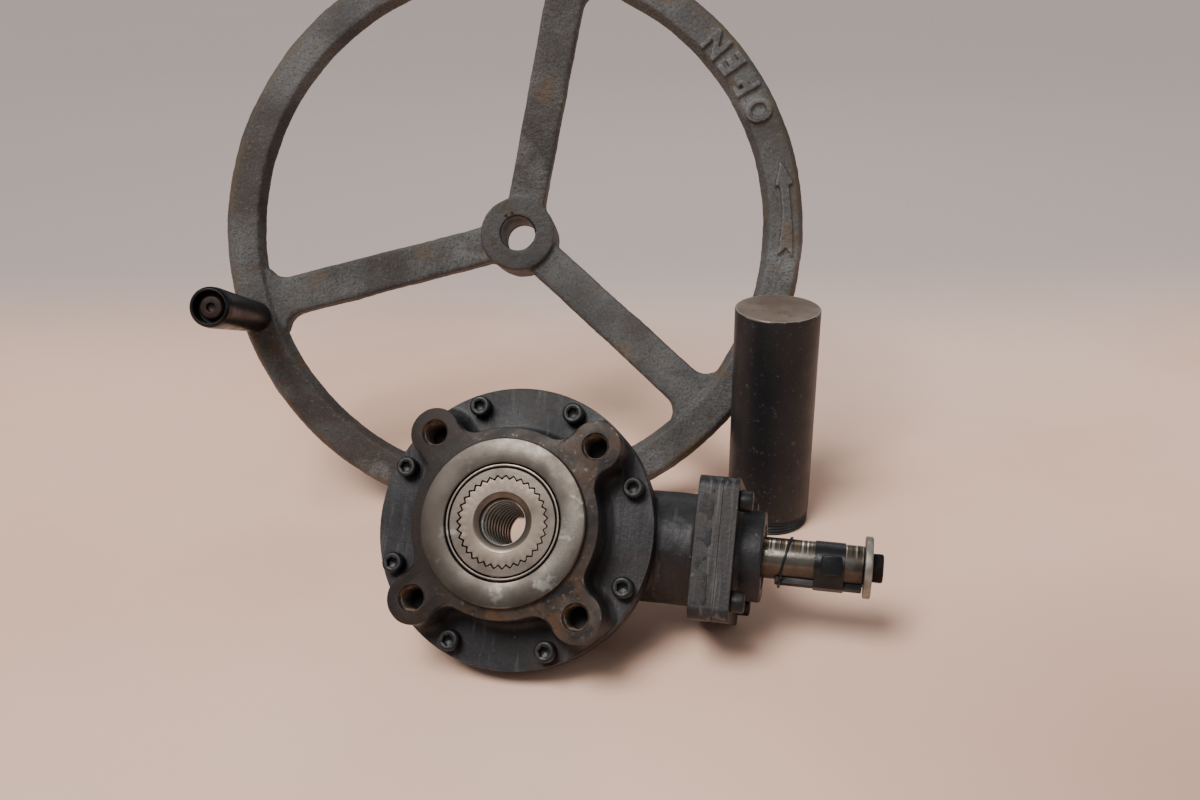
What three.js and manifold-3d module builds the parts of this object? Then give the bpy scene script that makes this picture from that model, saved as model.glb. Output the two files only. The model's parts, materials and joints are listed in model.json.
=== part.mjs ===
// Bevel gear operator for a gate valve, set out as its three loose pieces: the gearbox, its
// handwheel and its stem cover. Millimetres, +Z up, everything stands on the plane Z = 0.
//
// The gearbox is built in its own frame: +Z out of the valve mounting face along the stem,
// +X along the input shaft, and the mounting face at Z = 0. The handwheel is built with +Z
// along its bore, towards the operator, and Z = 0 through the middle of its rim.
import * as THREE from 'three';
import { mergeVertices } from 'three/addons/utils/BufferGeometryUtils.js';
import Module from 'manifold-3d';

const wasm = await Module();
wasm.setup();

const DEG = Math.PI / 180;
const GAP = 0.3; // clearance kept between neighbouring pieces

// ---- driving dimensions: valve mounting ----
const BOLT_CIRCLE_R = 70; // four tapped holes on a 140 mm circle
const MOUNT_HOLE_R = 7;
const MOUNT_HOLE_DEPTH = 22;
const LOBE_R = 15.5;
const HUB_R = 57; // lobed hub between its lobes
const HUB_FILLET_R = 12;
const SPIGOT_R = 50;
const SPIGOT_HEIGHT = 4;

// ---- driving dimensions: casing ----
const RING_R = 86; // front cover ring and housing flange
const RING_FRONT = -25;
const RING_BACK = -37;
const GASKET = 0.5;
const FLANGE_BACK = -48;
const REAR_HUB_R = 41;
const REAR_END = -112;
const PORT_R = 28.5; // stem cover port in the rear hub
const COVER_SCREW_CIRCLE_R = 77.3;
const COVER_SCREWS = 8;
const FRONT_BORE_R = 35;

// ---- driving dimensions: input side ----
const SHAFT_Z = -69; // input shaft axis behind the mounting face
const NECK_R = 35;
const NECK_BORE_R = 29.5;
const NECK_END = 109;
const SQUARE = 86; // side of the square flange
const SQUARE_CORNER_R = 8;
const SQUARE_THICK = 15;
const CARRIER_FLANGE = 9;
const NOSE_R = 28.2;
const NOSE_END = 149;
const CARRIER_SCREW_OFFSET = 30;
const SHAFT_R = 12.7;
const SHAFT_END = 209.4;
const BEARING_SEAT_R = 12.5;
const BEARING_OUTER_R = 23.5;
const BEARING_WIDTH = 12;
const KEY = 6.35;
const KEY_ANGLE = 168; // handwheel key, turned about the shaft from +Y towards +Z
const WASHER_R = 18.9;
const WASHER_THICK = 4.5;

// ---- driving dimensions: bevel gears ----
const MODULE = 2.75;
const GEAR_TEETH = 42;
const PINION_TEETH = 14;
const FACE_WIDTH = 16;

// ---- driving dimensions: drive sleeve and stem nut ----
const SLEEVE_R = 32;
const SLEEVE_FRONT = 3.4;
const SPLINE_TEETH = 35;
const SPLINE_R = 26.3;
const SPLINE_HALF_DEPTH = 1.1;
const SPLINE_LENGTH = 43;
const NUT_END = -72;
const THREAD_R = 13.5;
const DRIVE_BEARING_OUTER_R = 40.7;

// ---- driving dimensions: handwheel ----
const WHEEL_R = 222;
const RIM_INNER_R = 190;
const RIM_HALF = 10;
const SPOKES = 3;
const SPOKE_WIDTH = 30;
const SPOKE_THICK = 15;
const SPOKE_FILLET_R = 15;
const FIRST_SPOKE_ANGLE = 77.4;
const WHEEL_HUB_R = 29.3;
const WHEEL_HUB_FRONT = -34;
const WHEEL_HUB_LENGTH = 52;
const WHEEL_BORE_R = 13.6;
const HANDLE_CIRCLE_R = 207;
const HANDLE_ANGLE = 200;
const GRIP_TIP_R = 14.5;
const GRIP_BASE_R = 11.8;
const GRIP_RECESS_R = 11.3;
const GRIP_TIP = 105;

// ---- driving dimensions: stem cover (2 inch pipe) ----
const COVER_R = 30.15;
const COVER_WALL = 3.9;
const COVER_HEIGHT = 167.3;
const COVER_CAP = 6;
const COVER_THREAD = 7;

// ---- how the three loose pieces are set out on the floor ----
const GEARBOX_LEAN = Math.atan2(RING_R - REAR_HUB_R, FLANGE_BACK - REAR_END); // on rim and hub
const GEARBOX_YAW = -12.6 * DEG;
const GEARBOX_PLACE = [0, -5.5];
const WHEEL_PLACE = [-7.9, 264];
const WHEEL_LEAN = 23.7 * DEG;
const WHEEL_YAW = -2.9 * DEG;
const COVER_PLACE = [183.7, 170.5];

// ---- facets round a circle ----
const WIDE = 40; // casing, handwheel and stem cover
const MEDIUM = 24; // sleeve, bearings and shaft parts
const NARROW = 16;
const SMALL = 8; // screws and holes

// ---- materials ----
const finish = (color, roughness, metalness) => ({ color, roughness, metalness });
const PAINT = finish(0x4b4a50, 0.55, 0.3);
const WHEEL_PAINT = finish(0x74777b, 0.6, 0.3);
const COVER_PAINT = finish(0x3f3e42, 0.5, 0.35);
const STEEL = finish(0xa79c92, 0.35, 0.9);
const DARK_STEEL = finish(0x3a3a3d, 0.45, 0.8);
const BRONZE = finish(0xa5855a, 0.4, 0.9);
const ZINC = finish(0xb9b7ac, 0.4, 0.8);
const RUBBER = finish(0x141414, 0.8, 0.0);
const PLASTIC = finish(0x101012, 0.3, 0.0);
const PAPER = finish(0x6b5a45, 0.9, 0.0);

// ---- solids: closed geometry to manifold and back ----
function solid(geometry) {
  const bare = new THREE.BufferGeometry();
  bare.setAttribute('position', geometry.getAttribute('position'));
  if (geometry.index) bare.setIndex(geometry.index);
  const merged = mergeVertices(bare, 1e-4);
  const triangles = [];
  const index = merged.index.array;
  for (let i = 0; i < index.length; i += 3) {
    const [a, b, c] = [index[i], index[i + 1], index[i + 2]];
    if (a !== b && b !== c && c !== a) triangles.push(a, b, c);
  }
  return new wasm.Manifold(new wasm.Mesh({
    numProp: 3,
    vertProperties: new Float32Array(merged.getAttribute('position').array),
    triVerts: new Uint32Array(triangles),
  }));
}

function geometryOf(manifold) {
  const mesh = manifold.getMesh();
  const geometry = new THREE.BufferGeometry();
  geometry.setAttribute('position', new THREE.BufferAttribute(mesh.vertProperties, 3));
  geometry.setIndex(new THREE.BufferAttribute(mesh.triVerts, 1));
  geometry.computeVertexNormals();
  return geometry;
}

// A solid of revolution about Z from [radius, z] points that close on the axis or on themselves.
function turned(profile, segments = MEDIUM) {
  const points = profile.map(([r, z]) => new THREE.Vector2(r, z));
  const geometry = new THREE.LatheGeometry(points, segments);
  geometry.rotateX(Math.PI / 2);
  const made = solid(geometry);
  return made.volume() > 0 ? made : solid(flipped(geometry));
}

function flipped(geometry) {
  const index = geometry.index.array.slice();
  for (let i = 0; i < index.length; i += 3) {
    [index[i], index[i + 1]] = [index[i + 1], index[i]];
  }
  geometry.setIndex(new THREE.BufferAttribute(index, 1));
  return geometry;
}

const disc = (radius, z0, z1, segments) =>
  turned([[0, z0], [radius, z0], [radius, z1], [0, z1]], segments);

const ring = (inner, outer, z0, z1, segments) =>
  turned([[inner, z0], [outer, z0], [outer, z1], [inner, z1], [inner, z0]], segments);

// An outline in XY pushed from z0 up to z1.
function extruded(shape, z0, z1, curveSegments = 8) {
  const geometry = new THREE.ExtrudeGeometry(shape, {
    depth: z1 - z0, bevelEnabled: false, curveSegments, steps: 1,
  });
  geometry.translate(0, 0, z0);
  return solid(geometry);
}

// Turns a solid made about Z so that its axis lies along +X, on the input shaft's line.
const onShaft = (manifold) => manifold.rotate([0, 90, 0]).translate([0, 0, SHAFT_Z]);

const polar = (radius, degrees) => [radius * Math.cos(degrees * DEG), radius * Math.sin(degrees * DEG)];

function evenly(count, radius, first = 0) {
  return Array.from({ length: count }, (_, i) => polar(radius, first + (360 / count) * i));
}

function cutAll(manifold, cutters) {
  return cutters.reduce((left, cutter) => left.subtract(cutter), manifold);
}

const joinAll = (manifolds) => manifolds.reduce((a, b) => a.add(b));

function polygon(sides, radius, turn = 0) {
  const points = evenly(sides, radius, turn).map(([x, y]) => new THREE.Vector2(x, y));
  return new THREE.Shape(points);
}

function roundedSquare(side, corner) {
  const h = side / 2 - corner;
  const shape = new THREE.Shape();
  shape.absarc(h, h, corner, 0, Math.PI / 2);
  shape.absarc(-h, h, corner, Math.PI / 2, Math.PI);
  shape.absarc(-h, -h, corner, Math.PI, 1.5 * Math.PI);
  shape.absarc(h, -h, corner, 1.5 * Math.PI, 2 * Math.PI);
  return shape;
}

// The zigzag of a serrated spline: one crest and one root point for each tooth.
function serration(teeth, mean, halfDepth) {
  const points = [];
  for (let i = 0; i < 2 * teeth; i += 1) {
    const radius = mean + (i % 2 ? -halfDepth : halfDepth);
    points.push(new THREE.Vector2(...polar(radius, (180 / teeth) * i)));
  }
  return new THREE.Shape(points);
}

// ---- the scene graph ----
const root = new THREE.Group();
const gearbox = new THREE.Group();
const wheelGroup = new THREE.Group();
const coverGroup = new THREE.Group();
root.add(gearbox, wheelGroup, coverGroup);

function place(group, name, look, manifold) {
  const mesh = new THREE.Mesh(geometryOf(manifold), new THREE.MeshStandardMaterial(look));
  mesh.name = name;
  group.add(mesh);
  return mesh;
}

// ---- fasteners ----
// Socket head cap screw, head underside at z = 0, head up.
function socketScrew(headR, headHeight, shankR, length, socketR) {
  const body = turned([
    [0, -length], [shankR, -length], [shankR, 0], [headR, 0], [headR, headHeight], [0, headHeight],
  ], SMALL);
  return body.subtract(extruded(polygon(6, socketR), headHeight - headHeight / 2, headHeight + 1));
}

function hexBolt(acrossFlats, headHeight, shankR, length) {
  const head = extruded(polygon(6, acrossFlats / 2 / Math.cos(30 * DEG), 12), 0, headHeight);
  return head.add(disc(shankR, -length, headHeight / 2, SMALL));
}

// ---- gearbox casing ----
// Lobed hub outline: a circle with four lobes, joined by concave fillets.
function lobedOutline() {
  const centreR = HUB_R + HUB_FILLET_R;
  const reach = LOBE_R + HUB_FILLET_R;
  const across = centreR ** 2 + BOLT_CIRCLE_R ** 2 - reach ** 2;
  const offset = Math.acos(across / (2 * centreR * BOLT_CIRCLE_R));
  const shape = new THREE.Shape();
  for (let k = 0; k < 4; k += 1) {
    const middle = (45 + 90 * k) * DEG;
    const lobe = [BOLT_CIRCLE_R * Math.cos(middle), BOLT_CIRCLE_R * Math.sin(middle)];
    const before = [centreR * Math.cos(middle - offset), centreR * Math.sin(middle - offset)];
    const after = [centreR * Math.cos(middle + offset), centreR * Math.sin(middle + offset)];
    const inFrom = Math.atan2(lobe[1] - before[1], lobe[0] - before[0]);
    const outFrom = Math.atan2(lobe[1] - after[1], lobe[0] - after[0]);
    shape.absarc(...before, HUB_FILLET_R, middle - offset + Math.PI, inFrom, true);
    shape.absarc(...lobe, LOBE_R, inFrom + Math.PI, outFrom + Math.PI, false);
    shape.absarc(...after, HUB_FILLET_R, outFrom, middle + offset + Math.PI, true);
    const next = middle + Math.PI / 2 - offset;
    shape.absarc(0, 0, HUB_R, middle + offset, next, false);
  }
  return shape;
}

function frontCover() {
  const hub = extruded(lobedOutline(), RING_FRONT - 1, 0, 5);
  const plate = disc(RING_R, RING_BACK, RING_FRONT, WIDE);
  const body = joinAll([hub, plate, disc(SPIGOT_R, -1, SPIGOT_HEIGHT, WIDE)]);
  const bores = [
    disc(FRONT_BORE_R, -20, SPIGOT_HEIGHT + 1, WIDE),
    disc(DRIVE_BEARING_OUTER_R + GAP, RING_BACK - 1, -15, MEDIUM),
  ];
  const mountHoles = evenly(4, BOLT_CIRCLE_R, 45).map(([x, y]) =>
    disc(MOUNT_HOLE_R, -MOUNT_HOLE_DEPTH, 1, SMALL).translate([x, y, 0]));
  const screwHoles = evenly(COVER_SCREWS, COVER_SCREW_CIRCLE_R, 22.5).map(([x, y]) =>
    disc(4.5, RING_BACK - 1, RING_FRONT + 1, SMALL).translate([x, y, 0]));
  return cutAll(body, [...bores, ...mountHoles, ...screwHoles]);
}

function coverGasket() {
  const holes = evenly(COVER_SCREWS, COVER_SCREW_CIRCLE_R, 22.5).map(([x, y]) =>
    disc(4.5, RING_BACK - 2, RING_BACK, SMALL).translate([x, y, 0]));
  return cutAll(ring(64, RING_R, RING_BACK - GASKET + 0.05, RING_BACK - 0.05, WIDE), holes);
}

const HOUSING_FRONT = RING_BACK - GASKET;
const REAR_SEAT = -89; // front of the rear bearing's seat
const REAR_SEAT_END = REAR_SEAT - BEARING_WIDTH - 1;
const REAR_BEARING = REAR_SEAT_END + 0.6;
const FRONT_BEARING = -27.3;

function housing() {
  const bowl = turned([
    [0, HOUSING_FRONT], [RING_R, HOUSING_FRONT], [RING_R, FLANGE_BACK], [74, FLANGE_BACK],
    [72, -58], [57, -82], [47, -97], [REAR_HUB_R, -103], [REAR_HUB_R, REAR_END + 1],
    [REAR_HUB_R - 1, REAR_END], [0, REAR_END],
  ], WIDE);
  const neck = onShaft(disc(NECK_R, 20, NECK_END + 1, MEDIUM));
  const plate = roundedSquare(SQUARE, SQUARE_CORNER_R);
  const square = onShaft(extruded(plate, NECK_END, NECK_END + SQUARE_THICK, 4));
  const cavity = turned([
    [0, HOUSING_FRONT + 1], [64, HOUSING_FRONT + 1], [64, -60], [52, -84], [46, -87.5], [0, -87.5],
  ], WIDE);
  const shape = bowl.add(neck).add(square);
  const screwHoles = evenly(COVER_SCREWS, COVER_SCREW_CIRCLE_R, 22.5).map(([x, y]) =>
    disc(4.3, FLANGE_BACK - 9, HOUSING_FRONT + 1, SMALL).translate([x, y, 0]));
  const flangeHoles = carrierScrewPlaces().map(([x, y]) =>
    onShaft(disc(4.3, NECK_END - 1, NECK_END + SQUARE_THICK + 1, SMALL).translate([x, y, 0])));
  return cutAll(shape, [
    disc(RING_R + 0.4, HOUSING_FRONT, 10, WIDE),
    cavity,
    onShaft(disc(NECK_BORE_R, 47, NECK_END + SQUARE_THICK + 1, MEDIUM)),
    disc(DRIVE_BEARING_OUTER_R + GAP, REAR_SEAT_END, -80, MEDIUM),
    disc(PORT_R, REAR_END - 1, -95, MEDIUM),
    ...screwHoles,
    ...flangeHoles,
  ]);
}

function carrierScrewPlaces() {
  const s = CARRIER_SCREW_OFFSET;
  return [[s, s], [-s, s], [-s, -s], [s, -s]];
}

const SPLIT = NECK_END + SQUARE_THICK; // joint between housing neck and bearing carrier
const CARRIER_FACE = SPLIT + GASKET + CARRIER_FLANGE;

function carrierGasket() {
  const outline = roundedSquare(SQUARE, SQUARE_CORNER_R);
  const plate = extruded(outline, SPLIT + 0.05, SPLIT + GASKET - 0.05, 4);
  const holes = carrierScrewPlaces().map(([x, y]) =>
    disc(4.6, SPLIT - 1, SPLIT + 2, SMALL).translate([x, y, 0]));
  return onShaft(cutAll(plate, [disc(NECK_BORE_R + 0.2, SPLIT - 1, SPLIT + 2, MEDIUM), ...holes]));
}

const INBOARD_BEARING = 70.3;
const OUTBOARD_BEARING = SPLIT - BEARING_WIDTH - 0.2;
const SEAL_FROM = 140;

function bearingCarrier() {
  const plate = extruded(roundedSquare(SQUARE, SQUARE_CORNER_R), SPLIT + GASKET, CARRIER_FACE, 4);
  const tube = disc(NECK_BORE_R - GAP, 66, SPLIT + 2, MEDIUM);
  const nose = turned([
    [0, CARRIER_FACE - 1], [NOSE_R, CARRIER_FACE - 1], [NOSE_R, NOSE_END - 1.5],
    [NOSE_R - 1.5, NOSE_END], [0, NOSE_END],
  ], MEDIUM);
  const bore = turned([
    [0, 65], [BEARING_OUTER_R + GAP, 65], [BEARING_OUTER_R + GAP, 68], [25, 68], [25, 70],
    [BEARING_OUTER_R + GAP, 70], [BEARING_OUTER_R + GAP, SPLIT + 0.3], [15.5, SPLIT + 0.3],
    [15.5, SEAL_FROM - GAP], [20.3, SEAL_FROM - GAP], [20.3, NOSE_END + 1], [0, NOSE_END + 1],
  ], MEDIUM);
  const holes = carrierScrewPlaces().map(([x, y]) =>
    disc(4.6, SPLIT - 1, CARRIER_FACE + 1, SMALL).translate([x, y, 0]));
  return onShaft(cutAll(plate.add(tube).add(nose), [bore, ...holes]));
}

// ---- ball bearings: two rings with raceways, and the band that carries the balls ----
function bearing(innerR, outerR, z0) {
  const pitchR = (innerR + outerR) / 2;
  const land = (outerR - innerR) * 0.17; // radial half gap between the rings
  const z1 = z0 + BEARING_WIDTH;
  const middle = (z0 + z1) / 2;
  const inner = turned([
    [innerR, z0], [pitchR - land, z0], [pitchR - 2 * land, middle], [pitchR - land, z1],
    [innerR, z1], [innerR, z0],
  ]);
  const outer = turned([
    [pitchR + land, z0], [outerR, z0], [outerR, z1], [pitchR + land, z1],
    [pitchR + 2 * land, middle], [pitchR + land, z0],
  ]);
  const cage = turned([
    [pitchR - 1.5 * land, middle], [pitchR, middle - 1.5 * land], [pitchR + 1.5 * land, middle],
    [pitchR, middle + 1.5 * land], [pitchR - 1.5 * land, middle],
  ]);
  return { inner, outer, cage };
}

// ---- straight bevel gears, apex at the origin, teeth opening towards +Z ----
// Each tooth is four directions from the apex: two on the root cone and two on the tip cone.
function bevelGear(teeth, mate, { boreR, backZ, backR, shift }) {
  const pitchR = (MODULE * teeth) / 2;
  const cone = Math.atan2(teeth, mate);
  const distance = pitchR / Math.sin(cone);
  const tip = cone + Math.atan(0.9 * MODULE / distance);
  const rootAngle = cone - Math.atan(1.2 * MODULE / distance);
  const tipHalf = (0.34 * MODULE) / pitchR;
  const rootHalf = (1.1 * MODULE) / pitchR;
  const marks = [];
  for (let i = 0; i < teeth; i += 1) {
    const middle = ((i + shift) * 2 * Math.PI) / teeth;
    marks.push([middle - rootHalf, rootAngle], [middle - tipHalf, tip]);
    marks.push([middle + tipHalf, tip], [middle + rootHalf, rootAngle]);
  }
  const onCone = (along) => marks.map(([turn, angle]) => [
    along * Math.sin(angle) * Math.cos(turn), along * Math.sin(angle) * Math.sin(turn),
    along * Math.cos(angle)]);
  const circle = (radius, z) => marks.map(([turn]) => [
    radius * Math.cos(turn), radius * Math.sin(turn), z]);
  const toeZ = (distance - FACE_WIDTH) * Math.cos(tip);
  return lofted([
    onCone(distance - FACE_WIDTH), onCone(distance), circle(backR, backZ), circle(boreR, backZ),
    circle(boreR, toeZ),
  ]);
}

// A closed ring skinned through loops of equal length, the last joined to the first.
function lofted(loops) {
  const count = loops[0].length;
  const index = [];
  loops.forEach((_, k) => {
    const here = k * count;
    const there = ((k + 1) % loops.length) * count;
    for (let i = 0; i < count; i += 1) {
      const j = (i + 1) % count;
      index.push(here + i, here + j, there + i, here + j, there + j, there + i);
    }
  });
  const geometry = new THREE.BufferGeometry();
  geometry.setAttribute('position', new THREE.BufferAttribute(new Float32Array(loops.flat(2)), 3));
  geometry.setIndex(index);
  return solid(geometry);
}

const GEAR_SEAT_R = 34;
const GEAR_FRONT = -37.2;

function drivenGear() {
  const gear = bevelGear(GEAR_TEETH, PINION_TEETH, {
    boreR: GEAR_SEAT_R + GAP, backZ: GEAR_FRONT - SHAFT_Z, backR: 54, shift: 0,
  }).translate([0, 0, SHAFT_Z]);
  return gear.subtract(gearKeyBlock(GAP));
}

function gearKeyBlock(clearance) {
  const more = 2 * clearance;
  const block = solid(new THREE.BoxGeometry(7 + more, 8 + more, 12 + more));
  return block.translate([-GEAR_SEAT_R, 0, GEAR_FRONT - 6.5]);
}

function pinion() {
  const gear = bevelGear(PINION_TEETH, GEAR_TEETH, {
    boreR: 11.3, backZ: 65.8, backR: 15.5, shift: 0.5,
  });
  return onShaft(gear).subtract(pinionKeyBlock(GAP));
}

function pinionKeyBlock(clearance) {
  const more = 2 * clearance;
  const block = solid(new THREE.BoxGeometry(14 + more, 6 + more, 4.4 + more));
  return block.translate([55, 0, SHAFT_Z - 11.1]);
}

// ---- input shaft and what is on it ----
function keyBar(clearance, length) {
  const thick = KEY + 2 * clearance;
  const bar = solid(new THREE.BoxGeometry(length + 2 * clearance, thick, thick));
  const centre = SHAFT_END - length / 2 - 0.5;
  return bar.translate([centre, SHAFT_R, 0]).rotate([KEY_ANGLE, 0, 0]).translate([0, 0, SHAFT_Z]);
}

const KEY_LENGTH = 52;

function inputShaft() {
  const bar = onShaft(turned([
    [0, 38.5], [10, 38.5], [11, 39.5], [11, 40], [10, 40], [10, 41.6], [11, 41.6], [11, 66.2],
    [BEARING_SEAT_R, 66.2], [BEARING_SEAT_R, SPLIT + 0.3], [14.8, SPLIT + 0.3], [14.8, 131],
    [SHAFT_R, 131], [SHAFT_R, SHAFT_END - 1], [SHAFT_R - 1, SHAFT_END], [0, SHAFT_END],
  ], NARROW));
  return cutAll(bar, [
    keyBar(0.15, KEY_LENGTH),
    pinionKeyBlock(0.15),
    onShaft(disc(5.3, SHAFT_END - 26, SHAFT_END + 1, SMALL)),
  ]);
}

// Outline of the shaft with its key on +Y, grown outwards.
function keyedOutline(grow) {
  const radius = SHAFT_R + 0.15 + grow;
  const half = KEY / 2 + 0.4 + grow;
  const top = SHAFT_R + KEY / 2 + 0.3 + grow;
  const foot = Math.acos(half / radius);
  const shape = new THREE.Shape();
  shape.absarc(0, 0, radius, Math.PI - foot, foot, false);
  shape.lineTo(half, top);
  shape.lineTo(-half, top);
  return shape;
}

// A band wrapped over the shaft and the proud part of its key.
function keyBand(x0, x1, thick) {
  const outside = extruded(keyedOutline(thick), x0, x1, NARROW);
  const inside = extruded(keyedOutline(0), x0 - 1, x1 + 1, NARROW);
  return onShaft(outside.subtract(inside).rotate([0, 0, KEY_ANGLE]));
}

function gripSolid() {
  return turned([
    [5, RIM_HALF + GAP], [GRIP_BASE_R - 0.8, RIM_HALF + GAP], [GRIP_BASE_R, 12], [12.2, 30], [13.6, 75],
    [GRIP_TIP_R, 96], [GRIP_TIP_R - 0.6, GRIP_TIP - 1], [GRIP_TIP_R - 2, GRIP_TIP],
    [GRIP_RECESS_R, GRIP_TIP], [GRIP_RECESS_R, 95], [5, 95], [5, RIM_HALF + GAP],
  ], NARROW);
}

// ---- handwheel ----
function spokePlan() {
  const half = SPOKE_WIDTH / 2;
  const inner = RIM_INNER_R + 3;
  const turn = Math.asin((half + SPOKE_FILLET_R) / (inner - SPOKE_FILLET_R));
  const along = (inner - SPOKE_FILLET_R) * Math.cos(turn);
  const side = half + SPOKE_FILLET_R;
  const shape = new THREE.Shape();
  shape.moveTo(0, -half);
  shape.lineTo(along, -half);
  shape.absarc(along, -side, SPOKE_FILLET_R, Math.PI / 2, -turn, true);
  shape.lineTo(inner + 8, -side - 4);
  shape.lineTo(inner + 8, side + 4);
  shape.absarc(along, side, SPOKE_FILLET_R, turn, -Math.PI / 2, true);
  shape.lineTo(0, half);
  return shape;
}

function handwheel() {
  const rim = turned([
    [RIM_INNER_R + 5, RIM_HALF], [WHEEL_R - 5, RIM_HALF], [WHEEL_R - 1, 6], [WHEEL_R, 0],
    [WHEEL_R - 5, -RIM_HALF], [RIM_INNER_R + 8, -RIM_HALF], [RIM_INNER_R, -2], [RIM_INNER_R, 3],
    [RIM_INNER_R + 5, RIM_HALF],
  ], 60);
  const faceZ = [[20, -40], [60, -31], [150, -3], [RIM_INNER_R + 4, 7], [RIM_INNER_R + 12, 7]];
  const backZ = faceZ.map(([r, z]) => [r, z - SPOKE_THICK - (r < 100 ? 3 : 0)]).reverse();
  const dish = turned([...faceZ, ...backZ, faceZ[0]], WIDE);
  const plan = extruded(spokePlan(), -80, 20, 4);
  const spokes = Array.from({ length: SPOKES }, (_, i) =>
    plan.rotate([0, 0, FIRST_SPOKE_ANGLE + (360 / SPOKES) * i]).intersect(dish));
  const back = WHEEL_HUB_FRONT - WHEEL_HUB_LENGTH;
  const hub = turned([
    [0, back], [WHEEL_HUB_R - 1, back], [WHEEL_HUB_R, back + 1], [WHEEL_HUB_R, WHEEL_HUB_FRONT - 1.5],
    [WHEEL_HUB_R - 1.5, WHEEL_HUB_FRONT], [0, WHEEL_HUB_FRONT],
  ], MEDIUM);
  const keyway = solid(new THREE.BoxGeometry(WHEEL_BORE_R + 3.4, KEY + 0.3, WHEEL_HUB_LENGTH + 4));
  const middle = (back + WHEEL_HUB_FRONT) / 2;
  return cutAll(joinAll([rim, hub, ...spokes]), [
    disc(WHEEL_BORE_R, back - 1, WHEEL_HUB_FRONT + 1, NARROW),
    keyway.translate([(WHEEL_BORE_R + 3.4) / 2, 0, middle]).rotate([0, 0, -12]),
    disc(5, -RIM_HALF - 10, RIM_HALF + 10, SMALL).translate([...handlePlace(), 0]),
  ]);
}

const handlePlace = () => polar(HANDLE_CIRCLE_R, HANDLE_ANGLE);

function spindle() {
  return turned([
    [0, -RIM_HALF - 9], [4.4, -RIM_HALF - 9], [4.4, 95.5], [8.6, 95.5], [8.6, 101], [7.4, 102], [3, 102],
    [2.4, 98.5], [0, 98.5],
  ], SMALL);
}

// ---- stem cover ----
function coverTube() {
  const top = COVER_HEIGHT - COVER_CAP - 0.05;
  return turned([
    [COVER_R - COVER_WALL, 0], [COVER_R - 1.6, 0], [COVER_R - 0.8, COVER_THREAD],
    [COVER_R, COVER_THREAD + 1], [COVER_R, top], [COVER_R - COVER_WALL, top], [COVER_R - COVER_WALL, 0],
  ], WIDE);
}

function coverCap() {
  return turned([
    [0, COVER_HEIGHT - COVER_CAP + 0.05], [COVER_R, COVER_HEIGHT - COVER_CAP + 0.05],
    [COVER_R, COVER_HEIGHT - 0.8], [COVER_R - 0.8, COVER_HEIGHT], [0, COVER_HEIGHT],
  ], WIDE);
}

// ---- drive sleeve and stem nut ----
function driveSleeve() {
  const body = turned([
    [0, SLEEVE_FRONT], [SLEEVE_R, SLEEVE_FRONT], [SLEEVE_R, -27.6], [38, -27.6], [38, -36.9],
    [GEAR_SEAT_R, -36.9], [GEAR_SEAT_R, REAR_SEAT - 0.1], [SLEEVE_R, REAR_SEAT - 0.1],
    [SLEEVE_R, REAR_SEAT_END + 0.4], [0, REAR_SEAT_END + 0.4],
  ], MEDIUM);
  const spline = extruded(
    serration(SPLINE_TEETH, SPLINE_R + 0.15, SPLINE_HALF_DEPTH), SLEEVE_FRONT - SPLINE_LENGTH, 10);
  return cutAll(body, [spline, disc(24.6, -110, -20, MEDIUM), gearKeyBlock(0.15)]);
}

function stemNut() {
  const low = SLEEVE_FRONT - SPLINE_LENGTH + GAP;
  const teeth = serration(SPLINE_TEETH, SPLINE_R - 0.15, SPLINE_HALF_DEPTH);
  const spline = extruded(teeth, low, SLEEVE_FRONT - 0.5);
  const body = spline.add(disc(24.3, NUT_END, low + 1, MEDIUM));
  const bore = turned([
    [0, NUT_END - 1], [THREAD_R, NUT_END - 1], [THREAD_R, SLEEVE_FRONT - 5],
    [17.5, SLEEVE_FRONT + 0.2], [0, SLEEVE_FRONT + 0.2],
  ], NARROW);
  return body.subtract(bore);
}

// ---- assembly: gearbox casing ----
place(gearbox, 'housing', PAINT, housing());
place(gearbox, 'cover_gasket', PAPER, coverGasket());
place(gearbox, 'front_cover', PAINT, frontCover());
const coverScrew = socketScrew(6.5, 8, 4, 22, 3.4);
evenly(COVER_SCREWS, COVER_SCREW_CIRCLE_R, 22.5).forEach(([x, y], i) => {
  place(gearbox, `cover_screw_${i + 1}`, DARK_STEEL, coverScrew.translate([x, y, RING_FRONT + 0.05]));
});
place(gearbox, 'carrier_gasket', PAPER, carrierGasket());
place(gearbox, 'bearing_carrier', PAINT, bearingCarrier());
const carrierScrew = socketScrew(6.5, 8, 4, 22, 3.4);
carrierScrewPlaces().forEach(([x, y], i) => {
  const seated = carrierScrew.translate([x, y, CARRIER_FACE + 0.05]);
  place(gearbox, `carrier_screw_${i + 1}`, DARK_STEEL, onShaft(seated));
});
place(gearbox, 'input_oil_seal', RUBBER, onShaft(
  ring(SHAFT_R + GAP, 20, SEAL_FROM, NOSE_END - 0.6, MEDIUM)));
place(gearbox, 'front_bush', STEEL, ring(SLEEVE_R + GAP, FRONT_BORE_R - GAP, -13.8, 3.8, WIDE));
place(gearbox, 'carrier_snap_ring', DARK_STEEL, onShaft(ring(21.5, 24.7, 68.3, 69.7, MEDIUM)));
place(gearbox, 'outer_spacer', STEEL, onShaft(
  ring(20.6, BEARING_OUTER_R, INBOARD_BEARING + BEARING_WIDTH + GAP, OUTBOARD_BEARING - GAP, MEDIUM)));

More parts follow.
